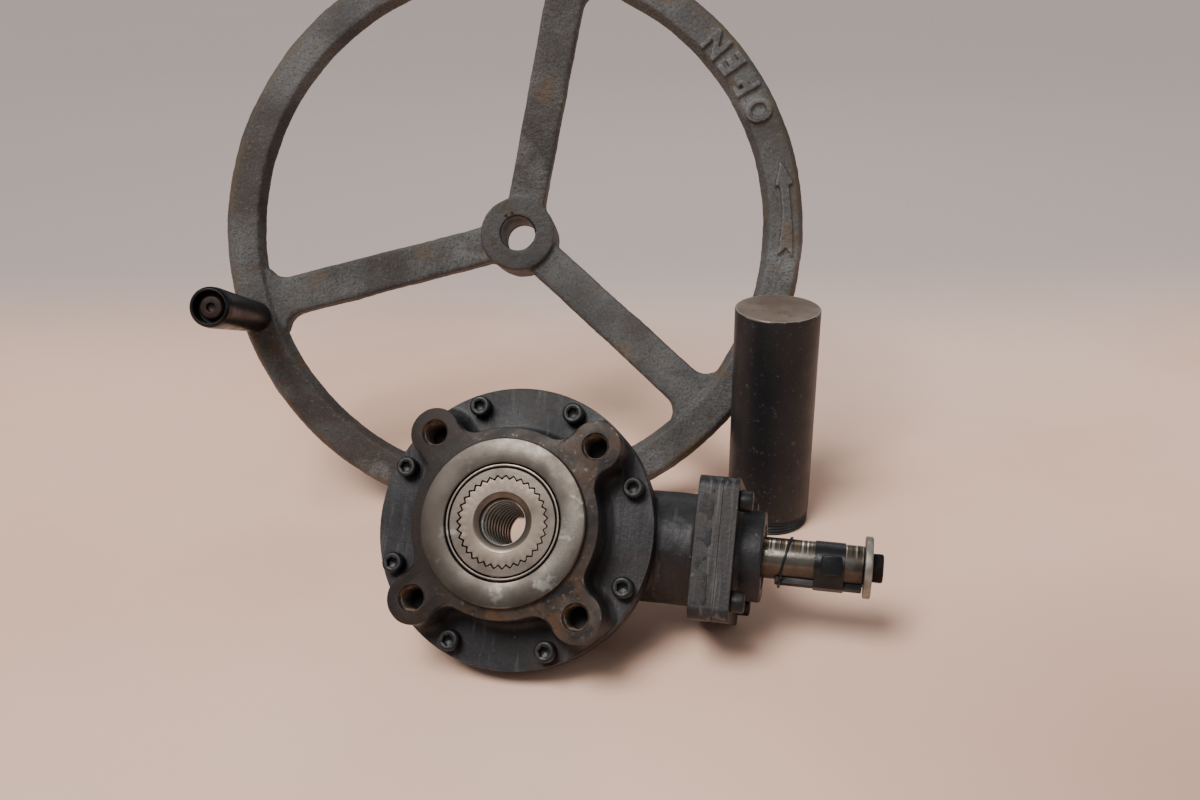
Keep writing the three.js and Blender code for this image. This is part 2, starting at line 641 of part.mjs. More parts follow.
// ---- assembly: bearings ----
const innerSeat = BEARING_SEAT_R + 0.25;
const onAxis = (made) => made;
const bearings = [
  ['inboard_bearing', bearing(innerSeat, BEARING_OUTER_R, INBOARD_BEARING), onShaft],
  ['outboard_bearing', bearing(innerSeat, BEARING_OUTER_R, OUTBOARD_BEARING), onShaft],
  ['front_bearing', bearing(SLEEVE_R + GAP, DRIVE_BEARING_OUTER_R, FRONT_BEARING), onAxis],
  ['rear_bearing', bearing(SLEEVE_R + GAP, DRIVE_BEARING_OUTER_R, REAR_BEARING), onAxis],
];
for (const [name, { inner, outer, cage }, seat] of bearings) {
  place(gearbox, `${name}_outer_ring`, STEEL, seat(outer));
  place(gearbox, `${name}_inner_ring`, STEEL, seat(inner));
  place(gearbox, `${name}_cage`, STEEL, seat(cage));
}

// ---- assembly: input shaft ----
place(gearbox, 'input_shaft', STEEL, inputShaft());
place(gearbox, 'bevel_pinion', DARK_STEEL, pinion());
place(gearbox, 'pinion_key', STEEL, pinionKeyBlock(0));
place(gearbox, 'pinion_snap_ring', DARK_STEEL, onShaft(ring(10.3, 11.7, 40.3, 41.3, NARROW)));
place(gearbox, 'inner_spacer', STEEL, onShaft(
  ring(innerSeat, 15.5, INBOARD_BEARING + BEARING_WIDTH + GAP, OUTBOARD_BEARING - GAP, NARROW)));
place(gearbox, 'handwheel_key', DARK_STEEL, keyBar(0, KEY_LENGTH));
place(gearbox, 'key_band', RUBBER, keyBand(180, 198, 0.9));
place(gearbox, 'retaining_band', RUBBER, keyBand(162, 163.6, 1.1));
place(gearbox, 'end_washer', ZINC, onShaft(
  ring(5.5, WASHER_R, SHAFT_END + GAP, SHAFT_END + GAP + WASHER_THICK, MEDIUM)));
const endBolt = hexBolt(17, 6.4, 5, 26);
place(gearbox, 'end_bolt', DARK_STEEL, onShaft(
  endBolt.translate([0, 0, SHAFT_END + 2 * GAP + WASHER_THICK])));

// ---- assembly: drive sleeve ----
place(gearbox, 'drive_sleeve', STEEL, driveSleeve());
place(gearbox, 'bevel_gear', DARK_STEEL, drivenGear());
place(gearbox, 'gear_key', STEEL, gearKeyBlock(0));
place(gearbox, 'stem_nut', BRONZE, stemNut());

// ---- assembly: handwheel and its handle ----
place(wheelGroup, 'handwheel', WHEEL_PAINT, handwheel());
const atHandle = (manifold) => manifold.translate([...handlePlace(), 0]);
place(wheelGroup, 'handle_spindle', DARK_STEEL, atHandle(spindle()));
place(wheelGroup, 'handle_grip', PLASTIC, atHandle(gripSolid()));
const hexagon = extruded(polygon(6, 7.5), -RIM_HALF - 7, -RIM_HALF - GAP);
place(wheelGroup, 'handle_nut', DARK_STEEL, atHandle(hexagon.subtract(disc(4.7, -30, 0, SMALL))));

// ---- assembly: stem cover ----
place(coverGroup, 'stem_cover_tube', COVER_PAINT, coverTube());
place(coverGroup, 'stem_cover_cap', COVER_PAINT, coverCap());

// ---- set out on the floor ----
// Leans a group back from upright, turns it, and lets it down until it touches Z = 0.
function setDown(group, [x, y], lean, yaw) {
  group.rotation.set(Math.PI / 2 - lean, 0, yaw, 'ZXY');
  group.position.set(x, y, 0);
  group.updateMatrixWorld(true);
  group.position.z = -new THREE.Box3().setFromObject(group, true).min.z;
}

setDown(gearbox, GEARBOX_PLACE, GEARBOX_LEAN, GEARBOX_YAW);
setDown(wheelGroup, WHEEL_PLACE, WHEEL_LEAN, WHEEL_YAW);
coverGroup.position.set(...COVER_PLACE, 0);

// The origin is the middle of the whole set's footprint.
root.updateMatrixWorld(true);
const footprint = new THREE.Box3().setFromObject(root, true).getCenter(new THREE.Vector3());
root.position.set(-footprint.x, -footprint.y, 0);
root.updateMatrixWorld(true);

export default root;
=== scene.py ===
import json
from math import acos, asin, atan2, cos, hypot, pi, sin, sqrt, tan

import bmesh
import bpy
from mathutils import Matrix, Vector, noise


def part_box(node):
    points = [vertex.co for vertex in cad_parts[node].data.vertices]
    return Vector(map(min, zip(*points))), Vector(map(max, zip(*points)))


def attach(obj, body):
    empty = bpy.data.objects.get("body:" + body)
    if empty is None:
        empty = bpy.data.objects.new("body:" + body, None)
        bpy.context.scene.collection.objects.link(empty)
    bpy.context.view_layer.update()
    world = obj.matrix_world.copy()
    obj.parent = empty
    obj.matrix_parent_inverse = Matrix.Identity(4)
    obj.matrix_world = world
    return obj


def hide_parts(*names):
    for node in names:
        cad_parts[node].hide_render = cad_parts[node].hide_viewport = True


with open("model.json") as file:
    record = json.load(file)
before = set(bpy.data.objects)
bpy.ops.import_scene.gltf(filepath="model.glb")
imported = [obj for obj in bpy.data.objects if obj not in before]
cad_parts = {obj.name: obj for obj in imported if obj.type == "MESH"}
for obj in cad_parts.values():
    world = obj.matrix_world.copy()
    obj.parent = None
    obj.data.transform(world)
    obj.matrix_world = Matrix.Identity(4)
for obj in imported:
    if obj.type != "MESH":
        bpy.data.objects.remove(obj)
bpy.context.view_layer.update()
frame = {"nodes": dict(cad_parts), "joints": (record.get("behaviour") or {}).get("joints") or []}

# Lengths are in millimetres, in the gearbox's, shaft's, wheel's or stem cover's own frame, and are
# turned into metres when a mesh is made.
MM = 0.001
DEG = pi / 180

# ---- driving dimensions, the same as the CAD model's ----
BOLT_CIRCLE_R = 70
LOBE_R = 15.5
HUB_R = 57
HUB_FILLET_R = 12
SPIGOT_R = 50
SPIGOT_TOP = 4
RING_R = 86
RING_FRONT = -25
RING_BACK = -37
FLANGE_BACK = -48
REAR_HUB_R = 41
REAR_END = -112
PORT_R = 28.5
COVER_SCREW_CIRCLE_R = 77.3
FRONT_BORE_R = 35
SHAFT_Z = -69
NECK_R = 35
NECK_BORE_R = 29.5
NECK_END = 109
SQUARE = 86
SQUARE_CORNER_R = 8
SPLIT = 124
CARRIER_FACE = 133.5
NOSE_R = 28.2
NOSE_END = 149
CARRIER_SCREW_OFFSET = 30
SHAFT_R = 12.7
SHAFT_END = 209.4
KEY = 6.35
KEY_LENGTH = 52
KEY_ANGLE = 168
TAPE_FOLD_ANGLE = 98
WASHER_R = 18.9
WASHER_THICK = 4.5
SLEEVE_R = 32
SLEEVE_FRONT = 3.4
SPLINE_TEETH = 35
SPLINE_R = 26.3
SPLINE_HALF_DEPTH = 1.1
SPLINE_LENGTH = 43
NUT_END = -72
THREAD_R = 13.5
STEM_PITCH = 6.35
WHEEL_R = 222
RIM_INNER_R = 190
RIM_HALF = 10
SPOKE_HALF = 15
SPOKE_THICK = 15
SPOKE_FILLET_R = 15
ROOT_FILLET = 7
FIRST_SPOKE = 77.4
WHEEL_HUB_R = 29.3
HUB_FRONT = -34
HUB_BACK = -86
WHEEL_BORE_R = 13.6
LETTER_ANGLES = (24.7, 30.7, 36.0, 41.3)
HANDLE_CIRCLE_R = 207
HANDLE_ANGLE = 200
GRIP_TIP = 105
COVER_R = 30.15
COVER_HEIGHT = 167.3
COVER_CAP = 6
PIPE_PITCH = 2.3


# ---- frames of the four groups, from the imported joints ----
def frame_at(origin, x_axis, z_axis):
    z = Vector(z_axis).normalized()
    x = Vector(x_axis)
    x = (x - z * x.dot(z)).normalized()
    made = Matrix((x, z.cross(x), z)).transposed().to_4x4()
    made.translation = Vector(origin)
    return made


joints = {j["name"]: j for j in frame["joints"]}
GEARBOX = frame_at(joints["drive_spin"]["pos_m"], joints["input_spin"]["axis"],
                   joints["drive_spin"]["axis"])
SHAFT = GEARBOX @ Matrix.Translation((0, 0, SHAFT_Z * MM)) @ Matrix.Rotation(90 * DEG, 4, "Y")
wheel_out = Vector(joints["grip_spin"]["axis"])
WHEEL = frame_at(joints["grip_spin"]["pos_m"], Vector((0, 0, 1)).cross(wheel_out), wheel_out)
HANDLE = WHEEL.copy()
handle_offset = Vector((cos(HANDLE_ANGLE * DEG), sin(HANDLE_ANGLE * DEG), 0))
WHEEL = WHEEL @ Matrix.Translation(-handle_offset * HANDLE_CIRCLE_R * MM)
tube_low, tube_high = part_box("stem_cover_tube")
COVER = Matrix.Translation(((tube_low.x + tube_high.x) / 2, (tube_low.y + tube_high.y) / 2, 0))


# ---- camera, lights and floor ----
CAMERA_FROM_GEARBOX = Vector((57.65, -585.1, 0)) * MM
CAMERA_HEIGHT = 431.9 * MM
CAMERA_PITCH = 23.66 * DEG
CAMERA_ROLL = -0.711 * DEG
CAMERA_LENS = 34.26

camera_data = bpy.data.cameras.new("camera")
camera_data.lens = CAMERA_LENS
camera_data.sensor_width = 36
camera = bpy.data.objects.new("camera", camera_data)
bpy.context.scene.collection.objects.link(camera)
place = Matrix.Rotation(90 * DEG - CAMERA_PITCH, 4, "X") @ Matrix.Rotation(CAMERA_ROLL, 4, "Z")
place.translation = GEARBOX.translation + CAMERA_FROM_GEARBOX
place.translation.z = CAMERA_HEIGHT
camera.matrix_world = place
bpy.context.scene.camera = camera


def light(name, kind, position, target, energy, size, color=(1, 1, 1)):
    data = bpy.data.lights.new(name, kind)
    data.energy = energy
    data.color = color
    if kind == "SUN":
        data.angle = size
    else:
        data.size = size
    lamp = bpy.data.objects.new(name, data)
    bpy.context.scene.collection.objects.link(lamp)
    lamp.location = position
    lamp.rotation_euler = (Vector(target) - Vector(position)).to_track_quat("-Z", "Y").to_euler()


light("key", "SUN", (-0.9, -0.9, 2.2), (0, 0, 0.1), 2.9, 26 * DEG, (1, 0.985, 0.965))
light("softbox", "AREA", (-0.35, -0.9, 1.35), (0, 0, 0.15), 9, 0.6, (1, 0.98, 0.95))
light("side", "AREA", (1.3, -0.5, 0.9), (0, 0, 0.15), 3, 0.8, (0.93, 0.96, 1))
light("behind", "AREA", (0.3, 1.5, 1.4), (0, 0, 0.1), 4, 1.0)

world = bpy.data.worlds.new("studio")
bpy.context.scene.world = world
world.use_nodes = True
world.node_tree.nodes["Background"].inputs["Color"].default_value = (0.86, 0.84, 0.86, 1)
world.node_tree.nodes["Background"].inputs["Strength"].default_value = 0.30


# ---- layered procedural materials ----
class Finish:
    """A surface built up in layers over a mottled base coat. Masks come from noise in object space."""

    def __init__(self, name, dark, light_color, rough, metal=0.0, mottle=25, contrast=(0.35, 0.65)):
        self.material = bpy.data.materials.new(name)
        self.material.use_nodes = True
        self.tree = self.material.node_tree
        self.shader = self.tree.nodes["Principled BSDF"]
        self.coords = self.node("TexCoord", {})["Object"]
        self.normal = None
        self.metal = metal
        mask = self.ramp(self.noise(mottle, detail=7), *contrast)
        self.color = self.mix(mask, dark, light_color)
        self.rough = self.blend(mask, rough + 0.06, rough - 0.06)

    def feed(self, socket, value):
        if isinstance(value, bpy.types.NodeSocket):
            self.tree.links.new(value, socket)
        else:
            socket.default_value = (*value, 1) if socket.type == "RGBA" else value

    def node(self, kind, inputs, **settings):
        made = self.tree.nodes.new("ShaderNode" + kind)
        for setting, value in settings.items():
            setattr(made, setting, value)
        for key, value in inputs.items():
            self.feed(made.inputs[key], value)
        return made.outputs

    def mix(self, factor, a, b):
        return self.node("Mix", {0: factor, 6: a, 7: b}, data_type="RGBA")[2]

    def blend(self, factor, a, b):
        return self.node("Mix", {0: factor, 2: a, 3: b})[0]

    def math(self, operation, a, b=0.0):
        return self.node("Math", {0: a, 1: b}, operation=operation)[0]

    def both(self, a, b):
        return self.math("MULTIPLY", a, b)

    def ramp(self, value, low, high):
        return self.node("MapRange", {0: value, 1: low, 2: high}, interpolation_type="SMOOTHSTEP")[0]

    def noise(self, scale, detail=4, stretch=(1, 1, 1), shift=(0, 0, 0), harsh=0.6):
        at = self.node("Mapping", {0: self.coords, "Scale": stretch, "Location": shift})[0]
        return self.node("TexNoise", {"Vector": at, "Scale": scale, "Detail": detail,
                                      "Roughness": harsh})[0]

    def axis(self, letter):
        return self.node("SeparateXYZ", {0: self.coords})[letter]

    def radius(self):
        x, y = self.axis("X"), self.axis("Y")
        return self.math("SQRT", self.math("ADD", self.both(x, x), self.both(y, y)))

    def lines(self, value, scale, detail=3):
        return self.node("TexNoise", {"W": value, "Scale": scale, "Detail": detail},
                         noise_dimensions="1D")[0]

    def edges(self, low, high):
        return self.ramp(self.node("NewGeometry", {})["Pointiness"], low, high)

    def layer(self, mask, color=None, rough=None, metal=None, strength=1.0):
        if strength != 1.0:
            mask = self.both(mask, strength)
        if color is not None:
            self.color = self.mix(mask, self.color, color)
        if rough is not None:
            self.rough = self.blend(mask, self.rough, rough)
        if metal is not None:
            self.metal = self.blend(mask, self.metal, metal)
        return self

    def patches(self, scale, low, high, color, rough=None, metal=None, strength=1.0, **how):
        """A layer where noise lies above low, full above high."""
        return self.layer(self.ramp(self.noise(scale, **how), low, high), color, rough, metal, strength)

    def bump(self, height, distance, strength=1.0):
        inputs = {"Height": height, "Distance": distance, "Strength": strength}
        if self.normal is not None:
            inputs["Normal"] = self.normal
        self.normal = self.node("Bump", inputs)[0]
        return self

    def grain(self, scale, distance, strength=1.0, **how):
        return self.bump(self.noise(scale, **how), distance, strength)

    def done(self, specular=0.5):
        sockets = {"Base Color": self.color, "Roughness": self.rough, "Metallic": self.metal,
                   "Specular IOR Level": specular}
        if self.normal is not None:
            sockets["Normal"] = self.normal
        for name, value in sockets.items():
            self.feed(self.shader.inputs[name], value)
        return self.material


def casing_paint(name, brushing, streaks=(0.06, 0.06, 0.063), from_height=0.54, worn=0.5):
    f = Finish(name, (0.0085, 0.008, 0.0088), (0.019, 0.0182, 0.02), 0.47, 0.0, 30)
    f.patches(14, 0.5, 0.66, (0.019, 0.014, 0.0125), 0.5, shift=(3, 1, 2))
    strokes = f.noise(260, detail=5, stretch=brushing)
    f.layer(f.ramp(strokes, from_height, from_height + 0.18), streaks, 0.42, strength=0.5)
    f.patches(240, 0.64, 0.72, (0.16, 0.155, 0.15), 0.45, strength=0.35, detail=8, shift=(8, 2, 4))
    f.layer(f.edges(0.56, 0.66), (0.11, 0.1, 0.09), 0.4, 0.4, strength=worn)
    f.bump(strokes, 0.0006, 0.7)
    f.grain(90, 0.001, 0.3, detail=5)
    f.grain(420, 0.0004, 0.5, detail=6)
    return f.done(specular=0.22)


def rusty_face():
    f = Finish("rusty_face", (0.024, 0.018, 0.0155), (0.052, 0.04, 0.033), 0.52, 0.2, 45)
    f.patches(22, 0.5, 0.64, (0.062, 0.034, 0.018), 0.66, 0.05, shift=(1, 4, 0))
    f.patches(38, 0.5, 0.62, (0.012, 0.011, 0.011), 0.5, 0.1, shift=(5, 2, 1))
    around_holes = f.both(f.ramp(f.radius(), 52 * MM, 64 * MM),
                          f.ramp(f.noise(44, shift=(2, 6, 3), detail=8), 0.46, 0.6))
    f.layer(around_holes, (0.075, 0.038, 0.019), 0.66, 0.05, strength=0.6)
    f.patches(300, 0.56, 0.72, (0.17, 0.15, 0.13), 0.36, 0.6, strength=0.5, detail=6)
    # Painted shade: the face turns darker towards -X, its left side.
    f.layer(f.ramp(f.axis("X"), 10 * MM, -60 * MM), (0.012, 0.009, 0.008), 0.56, 0.1, strength=0.85)
    f.layer(f.edges(0.55, 0.64), (0.24, 0.19, 0.15), 0.38, 0.7, strength=0.6)
    f.grain(160, 0.0006, 0.4, detail=5)
    f.grain(700, 0.0003, 0.5, detail=5)
    return f.done(specular=0.2)


def machined(name, dark, bright, rough, stain, left_painted_shade=0.0):
    # This colour serves both the grime stains and the painted shade on the left side.
    grime_and_shade = (0.036, 0.028, 0.022)
    f = Finish(name, dark, bright, rough, 0.92, 40)
    f.patches(28, 0.48, 0.66, grime_and_shade, 0.42, 0.7, strength=stain, shift=(2, 2, 5), detail=8)
    f.patches(75, 0.6, 0.7, (0.4, 0.38, 0.35), 0.45, 0.6, strength=0.3, shift=(7, 1, 3), detail=8)
    # Painted shade: the steel turns darker towards -X, its left side, as if less light reached it there.
    if left_painted_shade:
        f.layer(f.ramp(f.axis("X"), 25 * MM, -55 * MM), grime_and_shade, 0.4, 0.7, strength=left_painted_shade)
    f.bump(f.lines(f.radius(), 2600), 0.00008, 0.35)
    f.grain(900, 0.00008, 0.3, detail=4)
    return f.done()


def threaded_steel(name, crest, root):
    f = Finish(name, (0.1, 0.09, 0.08), (0.2, 0.185, 0.165), 0.34, 0.9, 90)
    # Painted shade in the thread roots: near black towards the root radius.
    f.layer(f.ramp(f.radius(), (crest + 0.25) * MM, (crest + root) / 2 * MM), (0.005, 0.004, 0.0035),
            0.6, 0.1)
    # Painted highlight on the thread crests.
    f.layer(f.ramp(f.radius(), (crest + 0.4) * MM, (crest + 0.1) * MM), (0.66, 0.64, 0.6), 0.34, 0.6,
            strength=0.95)
    f.grain(800, 0.0001, 0.4)
    return f.done()


def rusty_thread():
    f = Finish("rusty_thread", (0.022, 0.016, 0.013), (0.07, 0.054, 0.042), 0.5, 0.5, 160)
    # Painted highlight on the thread crests.
    f.layer(f.ramp(f.radius(), 7.35 * MM, 6.9 * MM), (0.26, 0.2, 0.15), 0.4, 0.7, strength=0.8)
    # Painted shade in the thread roots: near black towards the root radius.
    f.layer(f.ramp(f.radius(), 7.3 * MM, 7.8 * MM), (0.01, 0.007, 0.006), 0.7, 0.1)
    f.patches(110, 0.5, 0.64, (0.1, 0.048, 0.02), 0.7, 0.0, shift=(2, 9, 0))
    f.grain(1200, 0.0002, 0.5)
    return f.done()


def dark_screw():
    f = Finish("dark_screw", (0.007, 0.007, 0.0075), (0.016, 0.0158, 0.0172), 0.42, 0.1, 160)
    f.layer(f.edges(0.6, 0.7), (0.1, 0.095, 0.09), 0.35, 0.5, strength=0.5)
    f.patches(90, 0.56, 0.68, (0.03, 0.023, 0.019), 0.5, shift=(1, 1, 6))
    f.grain(700, 0.0002, 0.35)
    return f.done(specular=0.3)


def wheel_iron():
    f = Finish("wheel_iron", (0.046, 0.0445, 0.0435), (0.094, 0.092, 0.09), 0.58, 0.0, 14)
    f.patches(9, 0.48, 0.64, (0.043, 0.033, 0.028), 0.62, shift=(1, 3, 2), detail=7)
    f.patches(18, 0.56, 0.7, (0.165, 0.166, 0.164), 0.5, strength=0.55, shift=(6, 3, 2), detail=8)
    f.patches(620, 0.48, 0.62, (0.024, 0.021, 0.019), 0.6, strength=0.75, detail=6, harsh=0.75)
    f.patches(540, 0.58, 0.7, (0.2, 0.195, 0.19), 0.5, strength=0.5, detail=5, harsh=0.7,
              shift=(4, 4, 1))
    f.layer(f.edges(0.515, 0.56), (0.2, 0.2, 0.195), 0.45, 0.2, strength=0.5)
    f.patches(32, 0.57, 0.68, (0.1, 0.066, 0.038), 0.7, strength=0.6, shift=(9, 2, 7), detail=8)
    f.patches(70, 0.6, 0.7, (0.06, 0.032, 0.017), 0.7, strength=0.75, shift=(2, 8, 2), detail=6)
    dirt = f.both(f.ramp(f.radius(), 209 * MM, 218 * MM),
                  f.ramp(f.noise(24, shift=(3, 3, 8), detail=8), 0.44, 0.58))
    f.layer(dirt, (0.082, 0.06, 0.036), 0.7, strength=0.7)
    on_hub = f.both(f.ramp(f.axis("Z"), (HUB_FRONT - 2) * MM, (HUB_FRONT - 0.6) * MM),
                    f.ramp(f.radius(), (WHEEL_HUB_R + 2) * MM, WHEEL_HUB_R * MM))
    f.layer(on_hub, (0.03, 0.026, 0.023), strength=0.6)
    f.grain(330, 0.0013, 0.9, detail=7, harsh=0.65)
    return f.done(specular=0.3)


def cover_paint():
    f = Finish("cover_paint", (0.0058, 0.0062, 0.0082), (0.0115, 0.012, 0.0145), 0.44, 0.0, 22)
    f.patches(12, 0.48, 0.62, (0.0135, 0.011, 0.0108), 0.5, strength=0.7, shift=(2, 5, 1),
              stretch=(1, 1, 0.4))
    f.patches(170, 0.58, 0.68, (0.08, 0.08, 0.084), 0.5, strength=0.5, shift=(9, 5, 1), detail=9,
              harsh=0.7)
    f.patches(420, 0.66, 0.74, (0.16, 0.155, 0.15), 0.5, strength=0.6, shift=(3, 7, 1), detail=4)
    top = (COVER_HEIGHT - 1.4) * MM
    chipped = f.both(f.ramp(f.axis("Z"), top, top + 1.0 * MM),
                     f.ramp(f.noise(60, shift=(1, 6, 2)), 0.46, 0.56))
    f.layer(chipped, (0.22, 0.17, 0.14), 0.35, 0.7, strength=0.8)
    f.grain(500, 0.0003, 0.4, detail=5)
    return f.done(specular=0.32)


def cap_steel():
    f = Finish("cap_steel", (0.1, 0.071, 0.052), (0.146, 0.108, 0.082), 0.5, 0.2, 30)
    f.patches(75, 0.56, 0.68, (0.065, 0.05, 0.041), 0.55, strength=0.6, shift=(3, 5, 1), detail=7)
    f.layer(f.ramp(f.radius(), (COVER_R - 1.6) * MM, (COVER_R - 0.5) * MM), (0.34, 0.29, 0.25), 0.35,
            0.6, strength=0.7)
    f.bump(f.lines(f.radius(), 1800), 0.00006, 0.3)
    return f.done()


def shaft_steel():
    f = Finish("shaft_steel", (0.09, 0.077, 0.064), (0.26, 0.238, 0.205), 0.22, 0.95, 60)
    # Painted reflection: golden, black and white turning bands, on the upper half of the shaft only,
    # where the light falls.
    above = f.ramp(f.axis("Y"), 2 * MM, 8 * MM)
    f.layer(f.both(f.ramp(f.lines(f.axis("Z"), 380, detail=4), 0.46, 0.56), above),
            (0.23, 0.15, 0.062), 0.26, 0.9, strength=0.8)
    f.layer(f.both(f.ramp(f.lines(f.axis("Z"), 620, detail=4), 0.52, 0.58), above),
            (0.02, 0.016, 0.013), 0.32, 0.8, strength=0.9)
    f.layer(f.both(f.ramp(f.lines(f.axis("Z"), 520, detail=4), 0.56, 0.62), above),
            (0.8, 0.77, 0.72), 0.2, 1.0, strength=0.9)
    # Painted shade: the lower half of the shaft is darker.
    f.layer(f.ramp(f.axis("Y"), -1 * MM, -7 * MM), (0.055, 0.044, 0.036), 0.3, 0.9, strength=0.85)
    f.patches(110, 0.54, 0.66, (0.03, 0.022, 0.017), 0.4, 0.7, strength=0.75, detail=8,
              shift=(1, 2, 0))
    f.bump(f.lines(f.axis("Z"), 2500), 0.00005, 0.35)
    return f.done()


def black_oxide():
    f = Finish("black_oxide", (0.005, 0.005, 0.0053), (0.01, 0.0095, 0.01), 0.42, 0.0, 120)
    f.layer(f.edges(0.62, 0.72), (0.08, 0.075, 0.07), 0.35, 0.8, strength=0.5)
    f.grain(900, 0.0001, 0.35)
    return f.done(specular=0.12)


def plain(name, dark, light_color, rough, metal, mottle, grain, specular=0.5, **how):
    """A single mottled coat with a grain of (scale, depth, strength)."""
    return Finish(name, dark, light_color, rough, metal, mottle).grain(*grain, **how).done(specular)


def pale_floor():
    f = Finish("pale_floor", (0.78, 0.49, 0.358), (0.85, 0.555, 0.418), 0.78, 0.0, 2.2)
    f.patches(1.1, 0.45, 0.65, (0.78, 0.59, 0.5), strength=0.5, shift=(4, 2, 0), detail=3)
    # Painted shade: the floor turns darker and greyer from 0.25 m to 0.75 m along Y, where the backdrop
    # fold would be.
    f.layer(f.ramp(f.axis("Y"), 0.25, 0.75), (0.43, 0.375, 0.365), strength=0.9)
    # Painted shade: the floor is darker near the camera on the right.
    near_right_shade = f.both(f.ramp(f.axis("X"), 0.05, 0.4), f.ramp(f.axis("Y"), 0.05, -0.3))
    f.layer(near_right_shade, (0.52, 0.31, 0.228), strength=0.8)
    f.grain(5, 0.004, 0.25, detail=3)
    return f.done()


PAINT = casing_paint("casing_paint", (1, 0.12, 0.12))
BRUSHED = casing_paint("brushed_paint", (1, 0.07, 1.4), (0.115, 0.114, 0.112), 0.51, 0.12)
RUSTY_FACE = rusty_face()
# The spigot's steel carries painted shade on its left side.
SPIGOT = machined("spigot_steel", (0.06, 0.049, 0.04), (0.138, 0.121, 0.104), 0.32, 0.75, left_painted_shade=0.75)
NUT_FACE = machined("nut_steel", (0.112, 0.087, 0.069), (0.2, 0.16, 0.129), 0.34, 0.4)
SLEEVE_FACE = machined("sleeve_steel", (0.07, 0.056, 0.047), (0.128, 0.105, 0.088), 0.36, 0.35)
BUSH = machined("bush_steel", (0.095, 0.08, 0.068), (0.165, 0.143, 0.122), 0.34, 0.3)
THREAD = threaded_steel("stem_thread_steel", THREAD_R - 0.3, THREAD_R + 1.6)
PORT_THREAD = threaded_steel("port_thread_steel", PORT_R - 0.9, PORT_R + 0.2)
RUSTY_THREAD = rusty_thread()
SCREW = dark_screw()
WHEEL_IRON = wheel_iron()
# Near black: painted shade inside the wheel's bore.
BORE = plain("bore_shade", (0.008, 0.006, 0.005), (0.018, 0.014, 0.012), 0.5, 0.1, 60,
             (900, 0.0001, 0.4), 0.1)
GLOSS_BLACK = (Finish("gloss_black", (0.003, 0.0027, 0.0028), (0.0065, 0.0058, 0.006), 0.34, 0.0, 60)
        .patches(40, 0.55, 0.7, (0.014, 0.012, 0.011), 0.46, shift=(0, 3, 1))
        .grain(500, 0.00006, 0.3)
        .done(specular=0.17))
RUSTY_SCREW = plain("rusty_screw", (0.01, 0.0055, 0.0045), (0.026, 0.013, 0.01), 0.5, 0.2, 160,
                    (900, 0.0002, 0.5), 0.25)
COVER_PAINT = cover_paint()
CAP = cap_steel()
SHAFT_STEEL = shaft_steel()
ZINC = (Finish("zinc", (0.14, 0.13, 0.11), (0.26, 0.245, 0.215), 0.42, 0.6, 110)
        .patches(60, 0.52, 0.64, (0.1, 0.088, 0.07), 0.5, strength=0.7, shift=(1, 1, 3))
        .grain(900, 0.0001, 0.4)
        .done())
OXIDE = black_oxide()
RUBBER = plain("black_rubber", (0.0035, 0.0035, 0.004), (0.0085, 0.0088, 0.01), 0.33, 0.0, 90,
               (350, 0.0003, 0.5), 0.28, detail=3)
PAPER = plain("gasket_paper", (0.014, 0.012, 0.01), (0.03, 0.025, 0.02), 0.8, 0.0, 80,
              (1200, 0.0001, 0.5))
INNER = (Finish("inner_steel", (0.2, 0.19, 0.18), (0.42, 0.41, 0.39), 0.3, 0.95, 70)
        .patches(50, 0.55, 0.7, (0.09, 0.07, 0.04), 0.25, 0.6, shift=(3, 0, 4))
        .grain(900, 0.0001, 0.3)
        .done())
FLOOR = pale_floor()


# ---- mesh code ----
def circle(radius, z, count=96):
    step = 2 * pi / count
    return [(radius * cos(i * step), radius * sin(i * step), z) for i in range(count)]


def polar(radius, degrees, z=0.0):
    return radius * cos(degrees * DEG), radius * sin(degrees * DEG), z


def shifted(x, y, z):
    return Matrix.Translation(Vector((x, y, z)) * MM)


def turned(degrees):
    return Matrix.Rotation(degrees * DEG, 4, "Z")


def around(count, z, radius_at):
    """A loop at even angles, whose radius comes from each point's number and angle."""
    loop = []
    for i in range(count):
        angle = 2 * pi * i / count
        r = radius_at(i, angle)
        loop.append((r * cos(angle), r * sin(angle), z))
    return loop


def hexagon(half, z, limit=99.0, count=72):
    """A hexagon of half its width across flats, with its corners cut off at a radius."""
    def reach(i, angle):
        return min(half / cos(angle % (pi / 3) - pi / 6), limit)

    return around(count, z, reach)


def rounded(points, closed=False, steps=5):
    """A path whose corners are rounded: each point is (x, y) or (x, y, corner radius)."""
    made = []
    count = len(points)
    for i, point in enumerate(points):
        here = Vector(point[:2])
        corner = point[2] if len(point) > 2 else 0
        if not corner or (not closed and i in (0, count - 1)):
            made.append(tuple(here))
            continue
        before = Vector(points[i - 1][:2]) - here
        after = Vector(points[(i + 1) % count][:2]) - here
        half = before.angle(after) / 2
        reach = min(corner / tan(half), before.length * 0.49, after.length * 0.49)
        start = here + before.normalized() * reach
        end = here + after.normalized() * reach
        bisector = (before.normalized() + after.normalized()).normalized()
        radius = reach * tan(half)
        centre = here + bisector * (radius / sin(half))
        a0 = start - centre
        turn = a0.angle_signed(end - centre)
        for k in range(steps + 1):
            angle = -turn * k / steps
            c, s = cos(angle), sin(angle)
            made.append((centre.x + a0.x * c - a0.y * s, centre.y + a0.x * s + a0.y * c))
    return made


